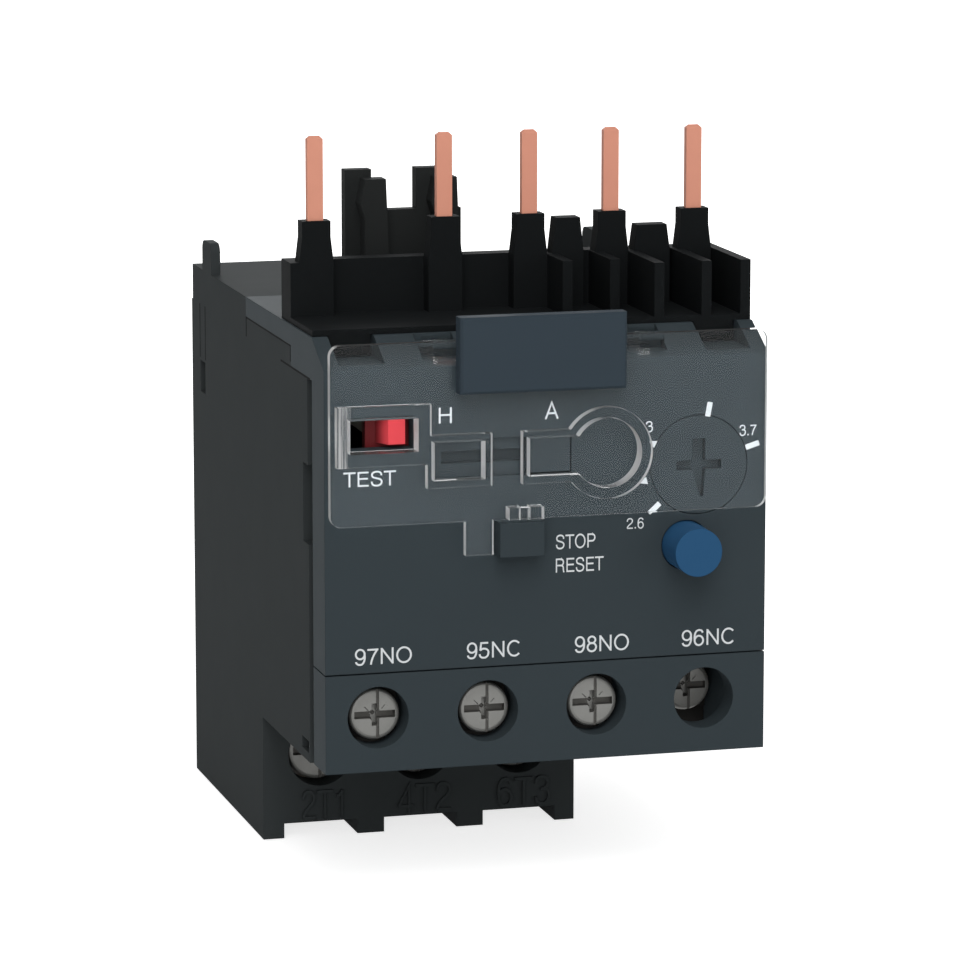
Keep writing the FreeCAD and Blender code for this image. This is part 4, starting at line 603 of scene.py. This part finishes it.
def wedge(x, z, face_y, half_x, half_z, deep, tip_x, tip_z, turn=0.0):
    """A tapered cutter that enters the head from the front."""
    verts = []
    for y, hx, hz in ((face_y - 0.3, half_x, half_z), (face_y, half_x, half_z),
                      (face_y + deep, tip_x, tip_z)):
        for sx, sz in ((-1, -1), (1, -1), (1, 1), (-1, 1)):
            px, pz = sx * hx, sz * hz
            verts.append(at(x + px * math.cos(turn) - pz * math.sin(turn), y,
                            z + px * math.sin(turn) + pz * math.cos(turn)))
    faces = [(0, 1, 2, 3), (8, 9, 10, 11)]
    for row in (0, 4):
        for k in range(4):
            n = (k + 1) % 4
            faces.append((row + k, row + n, row + 4 + n, row + 4 + k))
    return solid("cutter", verts, faces)


def cut(piece, cutters):
    """Take the cutters out of the piece and keep the result as plain mesh."""
    for cutter in cutters:
        step = piece.modifiers.new("cut", "BOOLEAN")
        step.operation = "DIFFERENCE"
        step.solver = "EXACT"
        step.object = cutter
    bpy.context.view_layer.update()
    shown = piece.evaluated_get(bpy.context.evaluated_depsgraph_get())
    mesh = bpy.data.meshes.new_from_object(shown)
    piece.modifiers.clear()
    old = piece.data
    piece.data = mesh
    bpy.data.meshes.remove(old)
    for cutter in cutters:
        data = cutter.data
        bpy.data.objects.remove(cutter)
        bpy.data.meshes.remove(data)


# The recess is drawn for a head of this radius in mm and scaled to the others.
RECESS_HEAD = 2.55
HEAD_SIDES = 48
THREAD_STEPS = 14


def screw(node, body, head_high, thread_radius, pitch):
    """A screw in the place of a CAD screw: head with its recess, shank and thread."""
    low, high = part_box(node)
    x = (low.x + high.x) / 2 / MM - LEFT
    z = (low.z + high.z) / 2 / MM
    face_y = low.y / MM - FRONT
    end_y = high.y / MM - FRONT
    r = (high.x - low.x) / 2 / MM
    core = thread_radius * 0.84
    neck_y = face_y + head_high
    head = [(0.35 * r, face_y), (r - 0.42, face_y), (r - 0.2, face_y + 0.05),
            (r - 0.06, face_y + 0.19), (r, face_y + 0.42), (r, neck_y - 0.15),
            (r - 0.12, neck_y), (core, neck_y), (core, end_y - 0.5),
            (thread_radius * 0.5, end_y)]
    piece = solid(node + "_cut", *turned(x, z, head, HEAD_SIDES))
    k = r / RECESS_HEAD
    # The slot, the cross bar, the pit in the middle, a scored line and two short marks.
    cut(piece, [
        wedge(x, z, face_y, 2.06 * k, 0.36 * k, 0.75, 2.02 * k, 0.34 * k),
        wedge(x, z, face_y, 0.30 * k, 1.12 * k, 1.05, 0.28 * k, 1.0 * k),
        wedge(x, z, face_y, 0.62 * k, 0.62 * k, 1.2, 0.12 * k, 0.12 * k, math.pi / 4),
        wedge(x + 0.29 * k, z, face_y, 0.15 * k, 1.1 * r, 0.2, 0.13 * k, 1.1 * r),
        wedge(x - 0.85 * k, z + 0.62 * k, face_y, 0.30 * k, 0.035 * k, 0.1, 0.28 * k, 0.03 * k,
              -math.pi / 4),
        wedge(x + 0.85 * k, z + 0.75 * k, face_y, 0.26 * k, 0.035 * k, 0.1, 0.24 * k, 0.03 * k,
              math.pi / 4),
    ])
    start = face_y + head_high + 0.35
    turns = int((end_y - 0.6 - start) / pitch)
    verts, faces = [], []
    for step in range(turns * THREAD_STEPS + 1):
        angle = math.tau * step / THREAD_STEPS
        y = start + pitch * step / THREAD_STEPS
        for radial, shift in ((0.8, -0.44), (1.0, -0.06), (1.0, 0.06), (0.8, 0.44)):
            reach = thread_radius * radial
            verts.append(at(x + reach * math.cos(angle), y + shift * pitch,
                            z + reach * math.sin(angle)))
        if step:
            a, b = 4 * (step - 1), 4 * step
            for j in range(3):
                faces.append((a + j, a + j + 1, b + j + 1, b + j))
            faces.append((a + 3, a, b, b + 3))
    last = 4 * turns * THREAD_STEPS
    faces += [(0, 1, 2, 3), (last, last + 1, last + 2, last + 3)]
    thread = solid(node + "_thread", verts, faces)
    for item in (piece, thread):
        item.data.materials.append(MATERIALS["plated_steel"])
        for face in item.data.polygons:
            face.material_index = 0
    # Painted shade: the walls and floor of the recess get a darker steel than the head's face and
    # its raised middle.
    piece.data.materials.append(RECESS_SHADE_STEEL)
    middle_point = at(x, face_y, z)
    for face in piece.data.polygons:
        place = (face.center - middle_point) / MM
        aside = math.hypot(place.x, place.z)
        if 0.09 < place.y < 1.3 and aside < 0.93 * r and not (aside < 0.5 and place.y < 1.1):
            face.material_index = 1
    for item in (piece, thread):
        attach(item, body)
    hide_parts(node)
    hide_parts(node)


for number in (1, 2, 3):
    screw("power_screw_%d" % number, "power_screw_body_%d" % number,
          head_high=2.0, thread_radius=1.75, pitch=0.6)
for number in (1, 2, 3, 4):
    screw("aux_screw_%d" % number, "aux_screw_body_%d" % number,
          head_high=1.8, thread_radius=1.5, pitch=0.5)


# The button's coil spring, whose rear end is fixed

def coil_spring(node, body, turns=5, wire=0.25, around=20, ring=8):
    """A round wire wound along Y, with a number of steps around each turn and the wire."""
    low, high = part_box(node)
    x = (low.x + high.x) / 2 / MM - LEFT
    z = (low.z + high.z) / 2 / MM
    radius = (high.x - low.x) / 2 / MM - wire
    start, end = low.y / MM - FRONT + wire, high.y / MM - FRONT - wire
    count = turns * around
    verts, faces = [], []
    for k in range(count + 1):
        angle = math.tau * k / around
        y = start + (end - start) * k / count
        for j in range(ring):
            side = math.tau * j / ring
            reach = radius + wire * math.cos(side)
            verts.append(at(x + reach * math.cos(angle), y + wire * math.sin(side),
                            z + reach * math.sin(angle)))
        if k:
            a, b = ring * (k - 1), ring * k
            for j in range(ring):
                n = (j + 1) % ring
                faces.append((a + j, a + n, b + n, b + j))
    faces += [tuple(range(ring)), tuple(range(ring * count, ring * (count + 1)))]
    piece = solid("spring_wire", verts, faces)
    for face in piece.data.polygons:
        face.use_smooth = len(face.vertices) == 4
    piece.data.materials.append(MATERIALS["plated_steel"])
    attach(piece, body)
    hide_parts(node)
    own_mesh(piece)


coil_spring("reset_spring", "root")


# Camera, floor and light

# The focal length and the width of the picture, both in pixels.
FOCAL_LENGTH, PICTURE_WIDTH = 5001.23, 960
YAW, PITCH = 0.2684, 0.1799
camera_data = bpy.data.cameras.new("camera")
camera_data.sensor_width = 36.0
camera_data.lens = FOCAL_LENGTH / PICTURE_WIDTH * camera_data.sensor_width
camera_data.clip_start = 0.01
camera_data.clip_end = 10.0
camera = bpy.data.objects.new("camera", camera_data)
bpy.context.scene.collection.objects.link(camera)
# The place the photograph was taken from, fitted to the edges of the body.
camera.location = at(-111.6, -462.55, 129.12)
forward = Vector((math.cos(PITCH) * math.sin(YAW), math.cos(PITCH) * math.cos(YAW),
                  -math.sin(PITCH)))
camera.rotation_mode = "QUATERNION"
camera.rotation_quaternion = forward.to_track_quat("-Z", "Y")
bpy.context.scene.camera = camera


def background_rays(tree):
    """1 for the rays that see the white background straight, mirrored or through glass."""
    path = tree.nodes.new("ShaderNodeLightPath")
    value = path.outputs["Is Camera Ray"]
    for ray in ("Is Glossy Ray", "Is Transmission Ray"):
        value = maths(tree, "MAXIMUM", value, path.outputs[ray])
    return value


floor_material, tree, shader = new_material("floor_paper")
shader.inputs["Base Color"].default_value = grey(0.82)
shader.inputs["Roughness"].default_value = 0.9
coords = tree.nodes.new("ShaderNodeTexCoord")
distance = tree.nodes.new("ShaderNodeVectorMath")
distance.operation = "LENGTH"
tree.links.new(coords.outputs["Object"], distance.inputs[0])
fade = spread(tree, distance.outputs["Value"], 0.05, 0.12, 0.76, 1.0, "SMOOTHSTEP")
glow_level = maths(tree, "MULTIPLY", background_rays(tree), fade)
glow = tree.nodes.new("ShaderNodeEmission")
glow.inputs["Color"].default_value = grey(1.0)
tree.links.new(glow_level, glow.inputs["Strength"])
both = tree.nodes.new("ShaderNodeAddShader")
tree.links.new(shader.outputs["BSDF"], both.inputs[0])
tree.links.new(glow.outputs["Emission"], both.inputs[1])
tree.links.new(both.outputs["Shader"], tree.nodes["Material Output"].inputs["Surface"])
# The floor lies a hair below the feet, so that the two faces don't share a plane.
FLOOR_REACH, FLOOR_LEVEL = 3.0, -0.0001
floor = new_piece("floor", [(x * FLOOR_REACH, y * FLOOR_REACH, FLOOR_LEVEL)
                            for x, y in ((-1, -1), (1, -1), (1, 1), (-1, 1))],
                  [(0, 1, 2, 3)], floor_material)

world = bpy.data.worlds.new("studio")
bpy.context.scene.world = world
world.use_nodes = True
tree = world.node_tree
background = tree.nodes["Background"]
level = spread(tree, background_rays(tree), 0.0, 1.0, 0.18, 1.0)
background.inputs["Color"].default_value = grey(1.0)
tree.links.new(level, background.inputs["Strength"])


AIM = Vector((0, 0, 0.035))


def lamp(name, place, size, power):
    """A soft square lamp that points at the middle of the object."""
    data = bpy.data.lights.new(name, "AREA")
    data.size = size
    data.energy = power
    item = bpy.data.objects.new(name, data)
    bpy.context.scene.collection.objects.link(item)
    item.location = Vector(place)
    item.rotation_mode = "QUATERNION"
    item.rotation_quaternion = (AIM - Vector(place)).to_track_quat("-Z", "Y")


lamp("key", (-0.18, -0.72, 0.50), 0.5, 2.15)
lamp("fill", (0.55, -0.55, 0.20), 0.5, 0.75)
lamp("rim", (0.12, 0.45, 0.40), 0.35, 0.35)
lamp("back", (0.10, 0.65, 0.30), 0.4, 1.1)
lamp("low", (-0.25, -0.60, 0.04), 0.35, 0.75)
lamp("top", (-0.05, -0.40, 0.64), 0.4, 1.2)

bpy.context.scene.view_settings.view_transform = "Standard"
